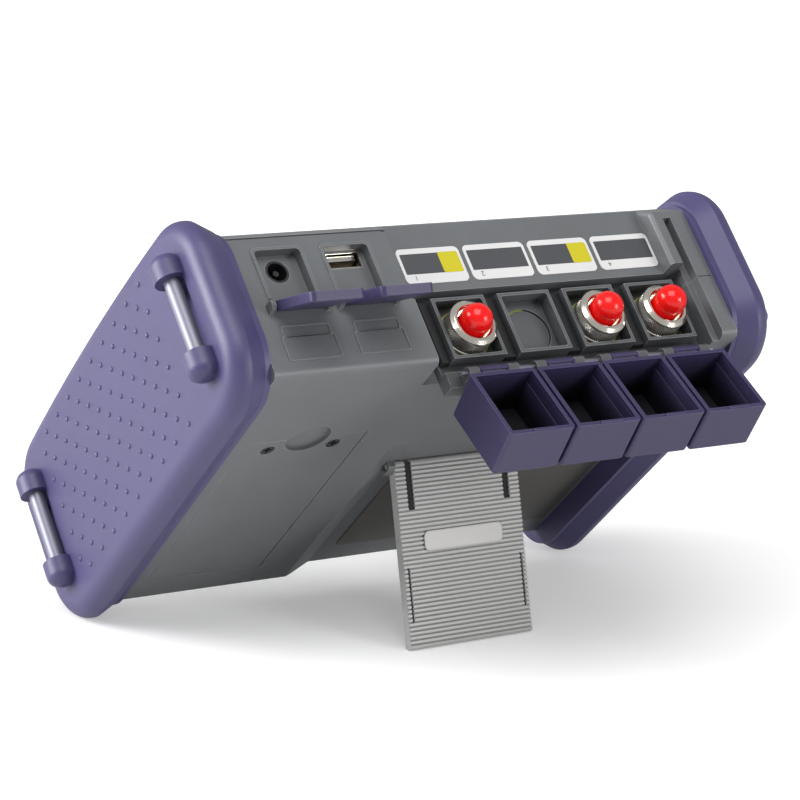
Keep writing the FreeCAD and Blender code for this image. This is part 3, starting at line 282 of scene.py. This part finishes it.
# %% The painted shade liner's own finish
# painted shade: indigo at the mouth, almost black at the bottom
SHADE_LINER_PALE, SHADE_LINER_DARK = (0.030, 0.024, 0.070), (0.003, 0.003, 0.006)
liner = moulded("Cover liner", SHADE_LINER_PALE, 0.60, 0.35, 0.12, specular=0.3)
tree = liner.node_tree
depth = node(tree, "ShaderNodeAttribute", attribute_name="depth")
sunk = node(tree, "ShaderNodeMapRange", {"Value": depth.outputs["Fac"], "From Min": 0.05,
                                         "From Max": 0.75})
darker = node(tree, "ShaderNodeMix", data_type="RGBA")
darker.inputs[MIX_FIRST].default_value = (*SHADE_LINER_PALE, 1)
darker.inputs[MIX_SECOND].default_value = (*SHADE_LINER_DARK, 1)
tree.links.new(sunk.outputs[0], darker.inputs[MIX_FACTOR])
grained = next(item for item in tree.nodes if item.type == "GROUP")
tree.links.new(darker.outputs[MIX_RESULT], grained.inputs["Colour"])
print(liner.name, "follows the depth attribute")

# %% [markdown]
# ### The list of finishes
#
# The imported record gives every node a material slot.  Most nodes wear the finish of their slot, and
# the few that differ from the rest of it are listed by name.

# %% Rubber, plastics and metals of the set
# Edge colours stand for rubbed wear and also paint highlights on edges; hollow amounts paint shade into grooves
# and bays.
FINISH = {
    "bumper": moulded("Violet bumper rubber", (0.050, 0.043, 0.120), 0.46, 0.45, 0.25,
                      edge=(0.15, 0.135, 0.26), edge_rub_and_highlight=0.5),
    "housing": moulded("Dark grey housing", (0.118, 0.125, 0.131), 0.44, 0.40, 0.30,
                       edge=(0.42, 0.43, 0.45), edge_rub_and_highlight=0.8, width=0.0006),
    "panel": moulded("Grey port panel", (0.080, 0.085, 0.090), 0.42, 0.50, 0.15,
                     edge=(0.36, 0.37, 0.38), edge_rub_and_highlight=0.9, hollow_shade=0.55, within=0.003),
    "cover": moulded("Indigo cover", (0.030, 0.024, 0.074), 0.42, 0.35, 0.18,
                     edge=(0.19, 0.165, 0.32), edge_rub_and_highlight=0.6),
    "stand": moulded("Warm grey stand", (0.42, 0.42, 0.41), 0.50, 0.40, 0.20,
                     edge=(0.60, 0.60, 0.59), edge_rub_and_highlight=0.4, hollow_shade=0.75, within=0.0008),
    "steel": moulded("Plain steel", (0.52, 0.52, 0.50), 0.30, 0.30, 0.05, metallic=1.0),
    "rod": moulded("Painted strap rod", (0.19, 0.19, 0.235), 0.46, 0.40, 0.08, metallic=0.6),
    "screw": moulded("Black screw", (0.045, 0.045, 0.048), 0.36, 0.30, 0.05, metallic=0.7),
    "nickel": moulded("Bright nickel", (0.80, 0.76, 0.68), 0.16, 0.30, 0.02, metallic=1.0),
    # the knurl is the same nickel painted darker, as painted shade, with more painted shade in its hollows and
    # painted glints on its edges
    "nut": moulded("Knurled nickel with painted shade and glints", (0.30, 0.275, 0.24), 0.30, 0.30, 0.04, metallic=0.75,
                     edge=(0.92, 0.90, 0.85), edge_rub_and_highlight=1.6, width=0.0003, hollow_shade=1.0, within=0.0009),
    "cap": moulded("Red cap", (0.74, 0.006, 0.005), 0.20, 0.60, 0.04, shade=0.03, specular=0.4),
    "black_plastic": moulded("Black plastic", (0.016, 0.016, 0.018), 0.40, 0.40, 0.15,
                             edge=(0.10, 0.10, 0.11)),
    "lens": moulded("Black lens", (0.010, 0.010, 0.012), 0.10, 1.20, 0.01, coat=0.6),
    "display": moulded("Display glass", (0.020, 0.024, 0.030), 0.08, 1.20, 0.01),
    "key": moulded("Key rubber", (0.050, 0.050, 0.056), 0.60, 0.40, 0.2, edge=(0.16, 0.16, 0.17)),
    "board": moulded("Green circuit board", (0.02, 0.12, 0.05), 0.35, 0.60, 0.05),
    "module": moulded("Cast module", (0.60, 0.60, 0.60), 0.40, 0.50, 0.10, metallic=1.0),
    "label": moulded("White label film", (0.62, 0.62, 0.62), 0.42, 0.50, 0.03, shade=0.02),
    "print": moulded("Dark print", (0.060, 0.062, 0.068), 0.45, 0.50, 0.03, shade=0.04),
    "tile": moulded("Yellow print", (0.52, 0.46, 0.012), 0.42, 0.50, 0.03, shade=0.03),
    "plate": moulded("Dark plate film", (0.075, 0.072, 0.065), 0.45, 0.60, 0.05, shade=0.10),
    "washer": moulded("Fibre washer", (0.20, 0.24, 0.02), 0.55, 0.40, 0.10),
    # near-black painted shade for the channels and the stand's slots, and the dark seam between the shells
    "shade_and_seam": moulded("Black painted shade and shell seam", (0.010, 0.010, 0.011), 0.80, 0.60, 0.30),
    "pad": moulded("Pale film", (0.46, 0.445, 0.435), 0.40, 0.60, 0.04, shade=0.03),
}
FINISH["liner"] = liner
SLOTS = {part["node"]: part["material_slot"] for part in frame["record"]["subparts"]}
OWN_FINISH = {"rating_plate": "plate", "cover_hinge_pin": "rod", "battery_lid_screws": "screw",
              "data_port": "nickel", "strap_rod_left_high": "rod", "strap_rod_left_low": "rod",
              "strap_rod_right_high": "rod", "strap_rod_right_low": "rod"}
for name, item in frame["nodes"].items():
    item.data.materials.clear()
    item.data.materials.append(FINISH[OWN_FINISH.get(name, SLOTS[name])])
print(len(FINISH), "finishes on", len(SLOTS), "nodes")

# %% [markdown]
# ## Measuring, drawing and fitting small pieces
#
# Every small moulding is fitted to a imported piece, so its place is read from that piece: `reach`
# gives a node's two far corners in set millimetres.  A new piece is drawn as a bmesh in the same
# millimetres, and `fit` turns it into a finished object.  Covers, flaps and the stand are packed
# standing open, but are far easier to draw shut, so `opened` gives the turn about the hinge that
# brings a piece from its shut place to where it stands.

# %% Measure, fit and open
TO_SET = DEVICE.inverted()
HOUSING = "housing"


def reach(name):
    """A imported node's lowest and highest corners in set millimetres."""
    points = [TO_SET @ vertex.co for vertex in frame["nodes"][name].data.vertices]
    return (Vector([min(p[i] for p in points) for i in range(3)]),
            Vector([max(p[i] for p in points) for i in range(3)]))


def axis_of(low, high):
    """The place of an upright axis midway between two corners."""
    return ((low.x + high.x) / 2, (low.y + high.y) / 2)


def opened(joint, angle):
    """A turn about a joint's axis, for pieces drawn in set millimetres."""
    place = TO_SET @ Vector(joints[joint]["pos_m"])
    axis = (TO_SET.to_3x3() @ Vector(joints[joint]["axis"])).normalized()
    turn = Matrix.Rotation(math.radians(angle), 4, axis)
    return Matrix.Translation(place) @ turn @ Matrix.Translation(-place)


def fit(name, mesh, body, finish, place=None, corner=0.6):
    """Turn a bmesh into a finished piece that rides on a body; edges past a corner stay crisp."""
    bmesh.ops.recalc_face_normals(mesh, faces=mesh.faces)
    for face in mesh.faces:
        face.smooth = True
    for edge in mesh.edges:
        edge.smooth = len(edge.link_faces) == 2 and edge.calc_face_angle(0) < corner
    data = bpy.data.meshes.new(name)
    mesh.to_mesh(data)
    mesh.free()
    data.transform(DEVICE @ place if place else DEVICE)
    data.materials.append(finish)
    item = bpy.data.objects.new(name, data)
    bpy.context.scene.collection.objects.link(item)
    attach(item, body)
    return item


def block(mesh, low, high, along=None, radius=0.0, edge=0.0, segments=4):
    """Add a block between two corners; its edges along one axis and its rims may be rounded."""
    low, high = Vector(low), Vector(high)
    size = high - low
    place = Matrix.Translation((low + high) / 2) @ Matrix.Diagonal((*size, 1))
    made = bmesh.ops.create_cube(mesh, size=1.0, matrix=place)
    corners = set(made["verts"])
    if radius:
        edges = [item for item in mesh.edges if set(item.verts) <= corners
                 and abs((item.verts[0].co - item.verts[1].co)[along]) > size[along] * 0.99]
        bevelled = bmesh.ops.bevel(mesh, geom=edges, offset=radius, offset_type="OFFSET",
                                   segments=segments, profile=0.5, affect="EDGES", material=-1)
        corners = {vert for vert in corners if vert.is_valid} | set(bevelled["verts"])
    if edge:
        rims = [item for item in mesh.edges if set(item.verts) <= corners
                and item.is_manifold and item.calc_face_angle(0) > 1.2]
        bmesh.ops.bevel(mesh, geom=rims, offset=edge, offset_type="OFFSET", segments=2, profile=0.5,
                        affect="EDGES", material=-1)
    return mesh


def hoop(mesh, low, high, wide, radius, segments=4):
    """Add a flat rounded frame: a plate between two corners with its middle cut out."""
    low, high = Vector(low), Vector(high)
    plate = bmesh.new()
    block(plate, low, high, 2, radius, segments=segments)
    caps = [face for face in plate.faces if abs(face.normal.z) > 0.9]
    bmesh.ops.inset_region(plate, faces=caps, thickness=wide, use_even_offset=True)
    inner = sorted(plate.faces, key=lambda face: face.calc_area() * (abs(face.normal.z) > 0.9))[-2:]
    bmesh.ops.bridge_loops(plate, edges=[e for face in inner for e in face.edges])
    bmesh.ops.delete(plate, geom=inner, context="FACES_ONLY")
    holder = bpy.data.meshes.new("holder")
    plate.to_mesh(holder)
    plate.free()
    mesh.from_mesh(holder)
    bpy.data.meshes.remove(holder)
    return mesh


def lathe(mesh, profile, centre, steps=72):
    """Spin a closed profile of (radius, height) pairs round an axis along z."""
    verts = [mesh.verts.new((centre[0] + radius, centre[1], height)) for radius, height in profile]
    edges = [mesh.edges.new((verts[i], verts[(i + 1) % len(verts)])) for i in range(len(verts))]
    bmesh.ops.spin(mesh, geom=verts + edges, cent=(*centre, 0), axis=(0, 0, 1), angle=math.tau,
                   steps=steps, use_merge=True)
    return mesh


# %% [markdown]
# ## Dots on the bumpers
#
# The flat end of each bumper carries a staggered field of small raised dots that give a wet hand
# some grip.  A dot is a squashed sphere with its lower half buried in the rubber.  There are about
# a hundred to a side, so each has only a few dozen faces.

# %% Grip dots
DOT_COLUMNS, DOT_STEP, DOT_FIRST = 11, 5.27, 58.9
DOT_ROWS, DOT_RISE, DOT_LOW = 9, 11.65, 36.0
DOT_SHAPE = (0.70, 0.95, 0.95)
BOSS_OUT = 7.8  # how far the rod bosses stand out past the flat end
for side, sign in (("left", 1), ("right", -1)):
    mesh = bmesh.new()
    flat = reach(f"bumper_{side}")[sign > 0].x - sign * BOSS_OUT
    for column in range(DOT_COLUMNS):
        for row in range(DOT_ROWS):
            rise = DOT_LOW + DOT_RISE * (row - (column % 2) / 2)
            spot = Matrix.Translation((flat, DOT_FIRST - DOT_STEP * column, rise))
            bmesh.ops.create_uvsphere(mesh, u_segments=8, v_segments=6, radius=1.0,
                                      matrix=spot @ Matrix.Diagonal((*DOT_SHAPE, 1)))
    dots = fit(f"bumper_{side}_dots", mesh, HOUSING, FINISH["bumper"])
    print(dots.name, len(dots.data.polygons), "faces, flat at", round(flat, 2))

# %% [markdown]
# ## Knurled nuts
#
# The nut round each port is turned from brass and plated: a polished cone at the mouth, a band of
# diamond knurling to grip, and a plain collar at the foot.  The polished parts are one spun
# profile.  The knurl is a second ring with many steps round and several rows up.  Every other point
# of it, in a chessboard, is pushed out, and each face is folded between its two low corners, which
# leaves a field of small pyramids.

# %% The nuts
PORTS = (1, 3, 4)
COLLAR, NECK, MOUTH, HOLE, NUT_FLOOR = 8.7, 8.25, 6.0, 4.1, 2.4
KNURL_STEPS, KNURL_RISE, KNURL_OUT = 110, 0.46, 0.36
KNURL_ROOT, KNURL_BACK, KNURL_MARGIN = 8.32, 8.0, 1.35
for port in PORTS:
    low, high = reach(f"knurled_nut_{port}")
    middle = axis_of(low, high)
    foot, top = low.z, high.z
    mesh = lathe(bmesh.new(), [
        (HOLE, foot), (8.3, foot), (COLLAR, foot + 0.3), (COLLAR, foot + 1.1), (NECK, foot + 1.4),
        (NECK, top - 1.5), (8.6, top - 1.3), (8.6, top - 1.0), (7.5, top - 0.1), (7.2, top), (6.6, top),
        (MOUTH, top - 0.9), (MOUTH, foot + NUT_FLOOR), (HOLE, foot + NUT_FLOOR)], middle)
    first = foot + KNURL_MARGIN
    count = int((top - KNURL_MARGIN - first) / KNURL_RISE)
    rows = [(KNURL_ROOT, first + row * KNURL_RISE) for row in range(count + 1)]
    band = lathe(bmesh.new(), [(KNURL_BACK, first)] + rows + [(KNURL_BACK, rows[-1][1])], middle,
                 KNURL_STEPS)
    raised = set()
    for vert in band.verts:
        out = Vector((vert.co.x - middle[0], vert.co.y - middle[1], 0))
        row = round((vert.co.z - first) / KNURL_RISE)
        step = round(math.atan2(out.y, out.x) / math.tau * KNURL_STEPS)
        if out.length > (KNURL_ROOT + KNURL_BACK) / 2 and 0 < row < count and (step + row) % 2:
            vert.co += out.normalized() * KNURL_OUT
            raised.add(vert)
    for face in list(band.faces):
        lows = [vert for vert in face.verts if vert not in raised]
        if len(lows) == 2 and not any(set(edge.verts) == set(lows) for edge in face.edges):
            bmesh.utils.face_split(face, *lows)
    nut = fit(f"nut_{port}_turned", mesh, f"knurled_nut_{port}", FINISH["nickel"], corner=0.35)
    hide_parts(f"knurled_nut_{port}")
    # the knurl wears painted shade in its colour and hollows, and painted glints on its edges
    knurl = fit(f"nut_{port}_knurl", band, f"knurled_nut_{port}", FINISH["nut"], corner=0.2)
    print(nut.name, len(nut.data.polygons) + len(knurl.data.polygons), "faces")

# %% [markdown]
# ## Port washers
#
# A thin yellow-green fibre washer lies under each nut, and the edge of another shows in the unused
# bay.  Each is a low ring, spun from a small profile.  The one in the unused bay is cut back to the
# short arc that shows.

# %% Washers in the bays
WASHER_IN, WASHER_OUT, WASHER_HIGH = 8.84, 9.22, 0.9
PLUG_RING = {"in": 8.2, "out": 8.55, "lip": 8.4, "under": 0.02, "over": 0.4}
ARC_X, ARC_Y = -1.5, 0.5  # the arc lies past this x and short of this y, from the bay's middle
for port in PORTS:
    low, high = reach(f"fibre_adapter_{port}")
    foot, top = low.z, low.z + WASHER_HIGH
    mesh = lathe(bmesh.new(), [(WASHER_IN, foot), (WASHER_OUT, foot), (WASHER_OUT, top),
                               (WASHER_IN, top)], axis_of(low, high))
    fit(f"bay_{port}_washer", mesh, HOUSING, FINISH["washer"])
low, high = reach("blank_port_plug")
middle = axis_of(low, high)
under, over = high.z + PLUG_RING["under"], high.z + PLUG_RING["over"]
mesh = lathe(bmesh.new(), [(PLUG_RING["in"], under), (PLUG_RING["out"], under), (PLUG_RING["out"], over),
                           (PLUG_RING["lip"], over)], middle)
hidden = [vert for vert in mesh.verts
          if vert.co.x < middle[0] + ARC_X or vert.co.y > middle[1] + ARC_Y]
bmesh.ops.delete(mesh, geom=hidden, context="VERTS")
bmesh.ops.holes_fill(mesh, edges=mesh.edges, sides=4)
fit("bay_2_washer", mesh, HOUSING, FINISH["washer"])
print("4 washers")

# %% [markdown]
# ## Port labels
#
# On the shelf in front of the bays lies one white film label per port.  Each has a dark field, two
# have a yellow tile at the end of it, and a plain port number stands on the white strip below.
# The fields and tiles are printed, so they are films a few hundredths of a millimetre thick.

# %% Printed fields, tiles and numbers
BAYS, BAY_STEP = (1, 2, 3, 4), 26.5
LABEL_WIDE, LABEL_EDGE, FIELD_NEAR, FIELD_FAR = 24.8, 1.1, 2.1, 10.0
FIELD_THICK, TILE_THICK, TILE_LONG, TILE_OVER = 0.04, 0.08, 7.7, 0.1
NUMBER_SIZE, NUMBER_THICK, NUMBER_IN, NUMBER_UP = 2.6, 0.02, 4.2, 10.7
low, high = reach("port_labels")
for port in BAYS:
    left = low.x + BAY_STEP * (len(BAYS) - port)
    field = (left + LABEL_EDGE, left + LABEL_WIDE - LABEL_EDGE)
    near, far = low.y + FIELD_NEAR, low.y + FIELD_FAR
    mesh = block(bmesh.new(), (field[0], near, high.z), (field[1], far, high.z + FIELD_THICK), 2, 0.25,
                 segments=2)
    fit(f"label_{port}_field", mesh, HOUSING, FINISH["print"])
    if port in (1, 3):
        mesh = block(bmesh.new(), (field[0] - TILE_OVER, near - TILE_OVER, high.z),
                     (field[0] + TILE_LONG, far + TILE_OVER, high.z + TILE_THICK), 2, 0.8)
        fit(f"label_{port}_tile", mesh, HOUSING, FINISH["tile"])
    words = bpy.data.curves.new(f"number_{port}", "FONT")
    words.body = str(port)
    words.size = NUMBER_SIZE
    words.extrude = NUMBER_THICK
    words.align_x = "CENTER"
    text = bpy.data.objects.new(f"number_{port}", words)
    flat = bpy.data.meshes.new_from_object(text)
    bpy.data.objects.remove(text)
    flat.transform(DEVICE @ Matrix.Translation((left + LABEL_WIDE - NUMBER_IN, low.y + NUMBER_UP,
                                                high.z + NUMBER_THICK)))
    flat.materials.append(FINISH["print"])
    number = bpy.data.objects.new(f"label_{port}_number", flat)
    bpy.context.scene.collection.objects.link(number)
    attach(number, HOUSING)
print("labels at", [round(v, 1) for v in low], [round(v, 1) for v in high])

# %% [markdown]
# ## Bare frames below the sockets
#
# Below each socket the housing has a fine moulded frame with a tab above it.  They are left bare.
# A frame is a rounded plate whose two faces are inset and bridged, which leaves only its border.

# %% Frames and tabs
PORT_FACE = 162.2  # how high the port face lies round the sockets
FRAME_FOOT, FRAME_TOP, FRAME_LINE = PORT_FACE - 0.1, PORT_FACE + 0.24, 0.45
TAB_IN, TAB_HIGH, TAB_LINE = 0.9, 3.9, 0.40
FRAMES = {"power": (65.7, 85.2, 49.4, 58.4), "data": (40.0, 58.7, 49.6, 58.2)}
for name, (near, far, front, back) in FRAMES.items():
    mesh = hoop(bmesh.new(), (near, front, FRAME_FOOT), (far, back, FRAME_TOP), FRAME_LINE, 0.8)
    hoop(mesh, (near + TAB_IN, front - TAB_HIGH, FRAME_FOOT),
         (far - TAB_IN, front + FRAME_LINE, FRAME_TOP), TAB_LINE, 1.2)
    fit(f"{name}_frame", mesh, HOUSING, FINISH["housing"])
print(len(FRAMES), "frames with tabs on the port face")

# %% [markdown]
# ## Inside and round the mouth of the covers
#
# The covers are deep boxes, and each gets a thin dark sheet that paints the shade inside it and
# darkens with depth.  Along one side wall runs a ledge that centres the cover on its bay and wears the
# same painted shade, and the free end has a small latch lip.  The hinge leaf is a framed plate.

# %% Painted shade liners, ledges, latches and leaves
COVER = {"half": 12.65, "front": 33.8, "back": 62.4, "rim": 154.0, "end": 172.0, "wall": 1.5}
FIRST_BAY, COVER_OPEN = 10.5, 164
SHADE_LINER_GAP, SHADE_LINER_THICK, SHADE_LINER_DROP = 0.03, 0.12, 1.2
LEDGE_DEEP, LEDGE_DROP, LEDGE_END = 0.7, 4.6, 2
LATCH_FROM, LATCH_TO, LATCH_IN, LATCH_OUT = 5.0, 3.6, 1.25, 0.15
LATCH_FOOT, LATCH_TOP = -0.5, 0.3
LEAF_HALF, LEAF_IN, LEAF_FAR, LEAF_FOOT, LEAF_TOP, LEAF_LINE = 5.4, 0.6, 66.2, 155.9, 157.0, 0.9


def bay_middle(bay):
    """Where a bay's centre lies along x."""
    return FIRST_BAY - BAY_STEP * (bay - 1)


def deepen(mesh, mouth, bottom):
    """Give each vertex its depth in a cover, from 0 at the mouth to 1 at the bottom."""
    depth = mesh.verts.layers.float.new("depth")
    for vert in mesh.verts:
        vert[depth] = (vert.co.z - mouth) / (bottom - mouth)


for bay in BAYS:
    body = f"port_cover_{bay}"
    middle = bay_middle(bay)
    swing = opened(f"port_cover_{bay}_close", -COVER_OPEN)
    wall, rim, end = COVER["wall"], COVER["rim"], COVER["end"]
    low = Vector((middle - COVER["half"] + wall, COVER["front"] + wall, rim))
    high = Vector((middle + COVER["half"] - wall, COVER["back"] - wall, end - wall))

    # a thin dark sheet inside the cover: painted shade that darkens with depth
    mesh = block(bmesh.new(), low + Vector((SHADE_LINER_GAP, SHADE_LINER_GAP, SHADE_LINER_DROP)),
                 high - Vector((SHADE_LINER_GAP, SHADE_LINER_GAP, SHADE_LINER_GAP)))
    mouth = [face for face in mesh.faces if face.normal.z < -0.9]
    bmesh.ops.delete(mesh, geom=mouth, context="FACES")
    bmesh.ops.recalc_face_normals(mesh, faces=mesh.faces)
    bmesh.ops.subdivide_edges(mesh, edges=mesh.edges, cuts=5, use_grid_fill=True)
    bmesh.ops.solidify(mesh, geom=list(mesh.faces), thickness=SHADE_LINER_THICK)
    deepen(mesh, low.z, high.z)
    fit(f"cover_{bay}_liner", mesh, body, FINISH["liner"], swing)

    # the ledge wears the same painted shade
    mesh = block(bmesh.new(), (low.x, low.y + 0.1, rim + LEDGE_DROP),
                 (low.x + LEDGE_DEEP, high.y - 0.1, end - LEDGE_END), edge=0.15)
    deepen(mesh, low.z, high.z)
    fit(f"cover_{bay}_ledge", mesh, body, FINISH["liner"], swing)

    mesh = block(bmesh.new(), (middle - LATCH_FROM, COVER["front"] + LATCH_OUT, rim + LATCH_FOOT),
                 (middle + LATCH_TO, COVER["front"] + LATCH_IN, rim + LATCH_TOP), edge=0.25)
    fit(f"cover_{bay}_latch", mesh, body, FINISH["cover"], swing)

    mesh = hoop(bmesh.new(), (middle - LEAF_HALF, COVER["back"] - LEAF_IN, LEAF_FOOT),
                (middle + LEAF_HALF, LEAF_FAR, LEAF_TOP), LEAF_LINE, 0.5)
    fit(f"cover_{bay}_leaf", mesh, body, FINISH["cover"], swing)
print(4 * len(BAYS), "cover mouldings")

# %% [markdown]
# ## Painted shade in the channels of the port panel
#
# When the covers are shut their walls drop into the channels between the bays.  A near-black strip
# along the bottom of each channel paints the shade that falls there.  Past the last bay a thin dark
# strip marks where the two shells meet.

# %% Painted channel shade and the seam of the shells
CHANNEL_SHADE_FRONT, CHANNEL_SHADE_BACK, CHANNEL_SHADE_FOOT, CHANNEL_SHADE_TOP = 36.4, 59.3, 150.5, 153.4
SEAM_LOW, SEAM_HIGH = (-91.6, 39.35, 160.9), (-85.5, 39.65, 162.26)
# the first channel lies beside bay 1, each other one between two bays
channels = [(21.2, 24.3)] + [(bay_middle(bay) - 15.7, bay_middle(bay) - 10.7) for bay in BAYS[:3]]
# a near-black strip in each channel paints its shade
for number, (near, far) in enumerate(channels, start=1):
    mesh = block(bmesh.new(), (near, CHANNEL_SHADE_FRONT, CHANNEL_SHADE_FOOT), (far, CHANNEL_SHADE_BACK, CHANNEL_SHADE_TOP), edge=0.3)
    fit(f"channel_shade_{number}", mesh, HOUSING, FINISH["shade_and_seam"])
fit("shell_seam", block(bmesh.new(), SEAM_LOW, SEAM_HIGH), HOUSING, FINISH["shade_and_seam"])
print(len(channels), "seals and the shell seam")

# %% [markdown]
# ## Painted slot shade and the pad of the stand
#
# The fold-out stand is ribbed.  Near-black strips in its two wide slots and its two narrow slits
# paint the shade inside them, and a smooth pale film covers the bare pad in the middle.

# %% Painted slot shade and pad film
STAND_OPEN = 61
LEFT, RIGHT, FACE, TOP, FOOT = 11.4, -39.8, 62.5, 86.0, 22.0
SLOT_SHADE_FOOT, SLOT_SHADE_FACE = FACE - 1.5, FACE - 0.75
SLOT_IN, SLOT_SPAN = (4.25, 6.85), (TOP - 15.75, TOP + 0.6)
SLIT_IN, SLIT_SPAN = (1.52, 2.38), (FOOT + 9.45, FOOT + 28.35)
PAD_IN, PAD_SPAN, PAD_SKIN, PAD_ROUND = 9.5, (FOOT + 33.7, FOOT + 40.1), (FACE + 0.2, FACE + 0.36), 1.7
swing = opened("stand_fold", -STAND_OPEN)
strips = []
for (close, wide), span in ((SLOT_IN, SLOT_SPAN), (SLIT_IN, SLIT_SPAN)):
    strips += [(LEFT - wide, LEFT - close, *span), (RIGHT + close, RIGHT + wide, *span)]
# near-black strips that paint the shade inside the slots and slits
for number, (near, far, bottom, top) in enumerate(strips, start=1):
    mesh = block(bmesh.new(), (near, SLOT_SHADE_FOOT, bottom), (far, SLOT_SHADE_FACE, top))
    fit(f"stand_slot_shade_{number}", mesh, "stand", FINISH["shade_and_seam"], swing)
mesh = block(bmesh.new(), (RIGHT + PAD_IN, PAD_SKIN[0], PAD_SPAN[0]),
             (LEFT - PAD_IN, PAD_SKIN[1], PAD_SPAN[1]), 1, PAD_ROUND)
fit("stand_pad_film", mesh, "stand", FINISH["pad"], swing)
print(len(strips), "strips and a film on the stand")

# %% [markdown]
# ## The table
#
# The set stands on a white table.  The back of the set leans over it, so much of its light is what
# the table throws back up.  To the camera alone the table glows a little, more so further away,
# which leaves the shadow near the set and a plain white beyond.

# %% The floor
mesh = bmesh.new()
bmesh.ops.create_grid(mesh, x_segments=1, y_segments=1, size=6.0)
floor_data = bpy.data.meshes.new("table_top")
mesh.to_mesh(floor_data)
mesh.free()
floor = bpy.data.objects.new("table_top", floor_data)
bpy.context.scene.collection.objects.link(floor)
white = bpy.data.materials.new("White table")
white.use_nodes = True
paper = white.node_tree.nodes["Principled BSDF"]
paper.inputs["Base Color"].default_value = (0.84, 0.84, 0.84, 1)
paper.inputs["Roughness"].default_value = 0.85
paper.inputs["Emission Color"].default_value = (1, 1, 1, 1)
seen = node(white.node_tree, "ShaderNodeLightPath")
spot = node(white.node_tree, "ShaderNodeTexCoord").outputs["Object"]
away = node(white.node_tree, "ShaderNodeVectorMath", {0: spot}, operation="LENGTH")
glow = node(white.node_tree, "ShaderNodeMapRange", {"Value": away.outputs["Value"], "From Min": 0.2,
                                                    "From Max": 1.6, "To Min": 0.28, "To Max": 0.85})
lift = node(white.node_tree, "ShaderNodeMath", {0: seen.outputs["Is Camera Ray"], 1: glow.outputs[0]},
            operation="MULTIPLY")
white.node_tree.links.new(lift.outputs[0], paper.inputs["Emission Strength"])
floor_data.materials.append(white)
print("a white table under the set")

# %% [markdown]
# ## Light
#
# Two large soft lamps, above and to the left, model the form, and a smaller one on the right draws
# highlights along the edges.  A pale world fills the shadows, and the camera sees it as white.

# %% Lamps and world
def lamp(name, place, aim, wide, power):
    """A square soft light aimed at a point, all in world metres."""
    data = bpy.data.lights.new(name, "AREA")
    data.size = wide
    data.energy = power
    item = bpy.data.objects.new(name, data)
    bpy.context.scene.collection.objects.link(item)
    item.location = place
    item.rotation_euler = (Vector(aim) - Vector(place)).to_track_quat("-Z", "Y").to_euler()
    return item


middle = (packed_box[0] + packed_box[1]) / 2
lamp("soft_above", (0.35, 0.45, 1.3), middle, 0.9, 12.0)
lamp("soft_left", (1.5, -0.70, 0.60), middle, 1.0, 44.0)
lamp("soft_right", (-0.73, 1.27, 0.42), middle, 0.5, 9.0)
world = bpy.data.worlds.new("Studio")
bpy.context.scene.world = world
world.use_nodes = True
sky = world.node_tree.nodes["Background"]
sky.inputs["Color"].default_value = (1, 1, 1, 1)
sky.inputs["Strength"].default_value = 0.42
path = node(world.node_tree, "ShaderNodeLightPath")
plain = node(world.node_tree, "ShaderNodeBackground", {"Color": (1, 1, 1, 1), "Strength": 1.0})
either = node(world.node_tree, "ShaderNodeMixShader")
world.node_tree.links.new(path.outputs["Is Camera Ray"], either.inputs[0])
world.node_tree.links.new(sky.outputs[0], either.inputs[1])
world.node_tree.links.new(plain.outputs[0], either.inputs[2])
world.node_tree.links.new(either.outputs[0], world.node_tree.nodes["World Output"].inputs["Surface"])
print("3 lamps and a pale world")

# %% [markdown]
# ## Camera
#
# A long lens looks down on the port end and the back.  Where it stands, and which way its picture
# runs to the right and down, are given in the set's own directions.

# %% The camera
camera_data = bpy.data.cameras.new("camera")
camera_data.lens = 119.25  # millimetres, on a full-frame sensor
camera_data.sensor_width = 36
camera_data.clip_start = 0.01
camera = bpy.data.objects.new("camera", camera_data)
bpy.context.scene.collection.objects.link(camera)
bpy.context.scene.camera = camera
VIEW_FROM = (494.385, 409.273, 783.071)
VIEW_RIGHT = Vector((-0.84233, 0.34117, 0.41722))
VIEW_DOWN = Vector((0.08738, 0.85034, -0.51893))
turn = Matrix((VIEW_RIGHT, -VIEW_DOWN, VIEW_RIGHT.cross(-VIEW_DOWN))).transposed()
lean = DEVICE.to_3x3() * 1000
camera.matrix_world = Matrix.Translation(DEVICE @ Vector(VIEW_FROM)) @ (lean @ turn).to_4x4()
bpy.context.scene.view_settings.view_transform = "Standard"
print("camera at", camera.location)
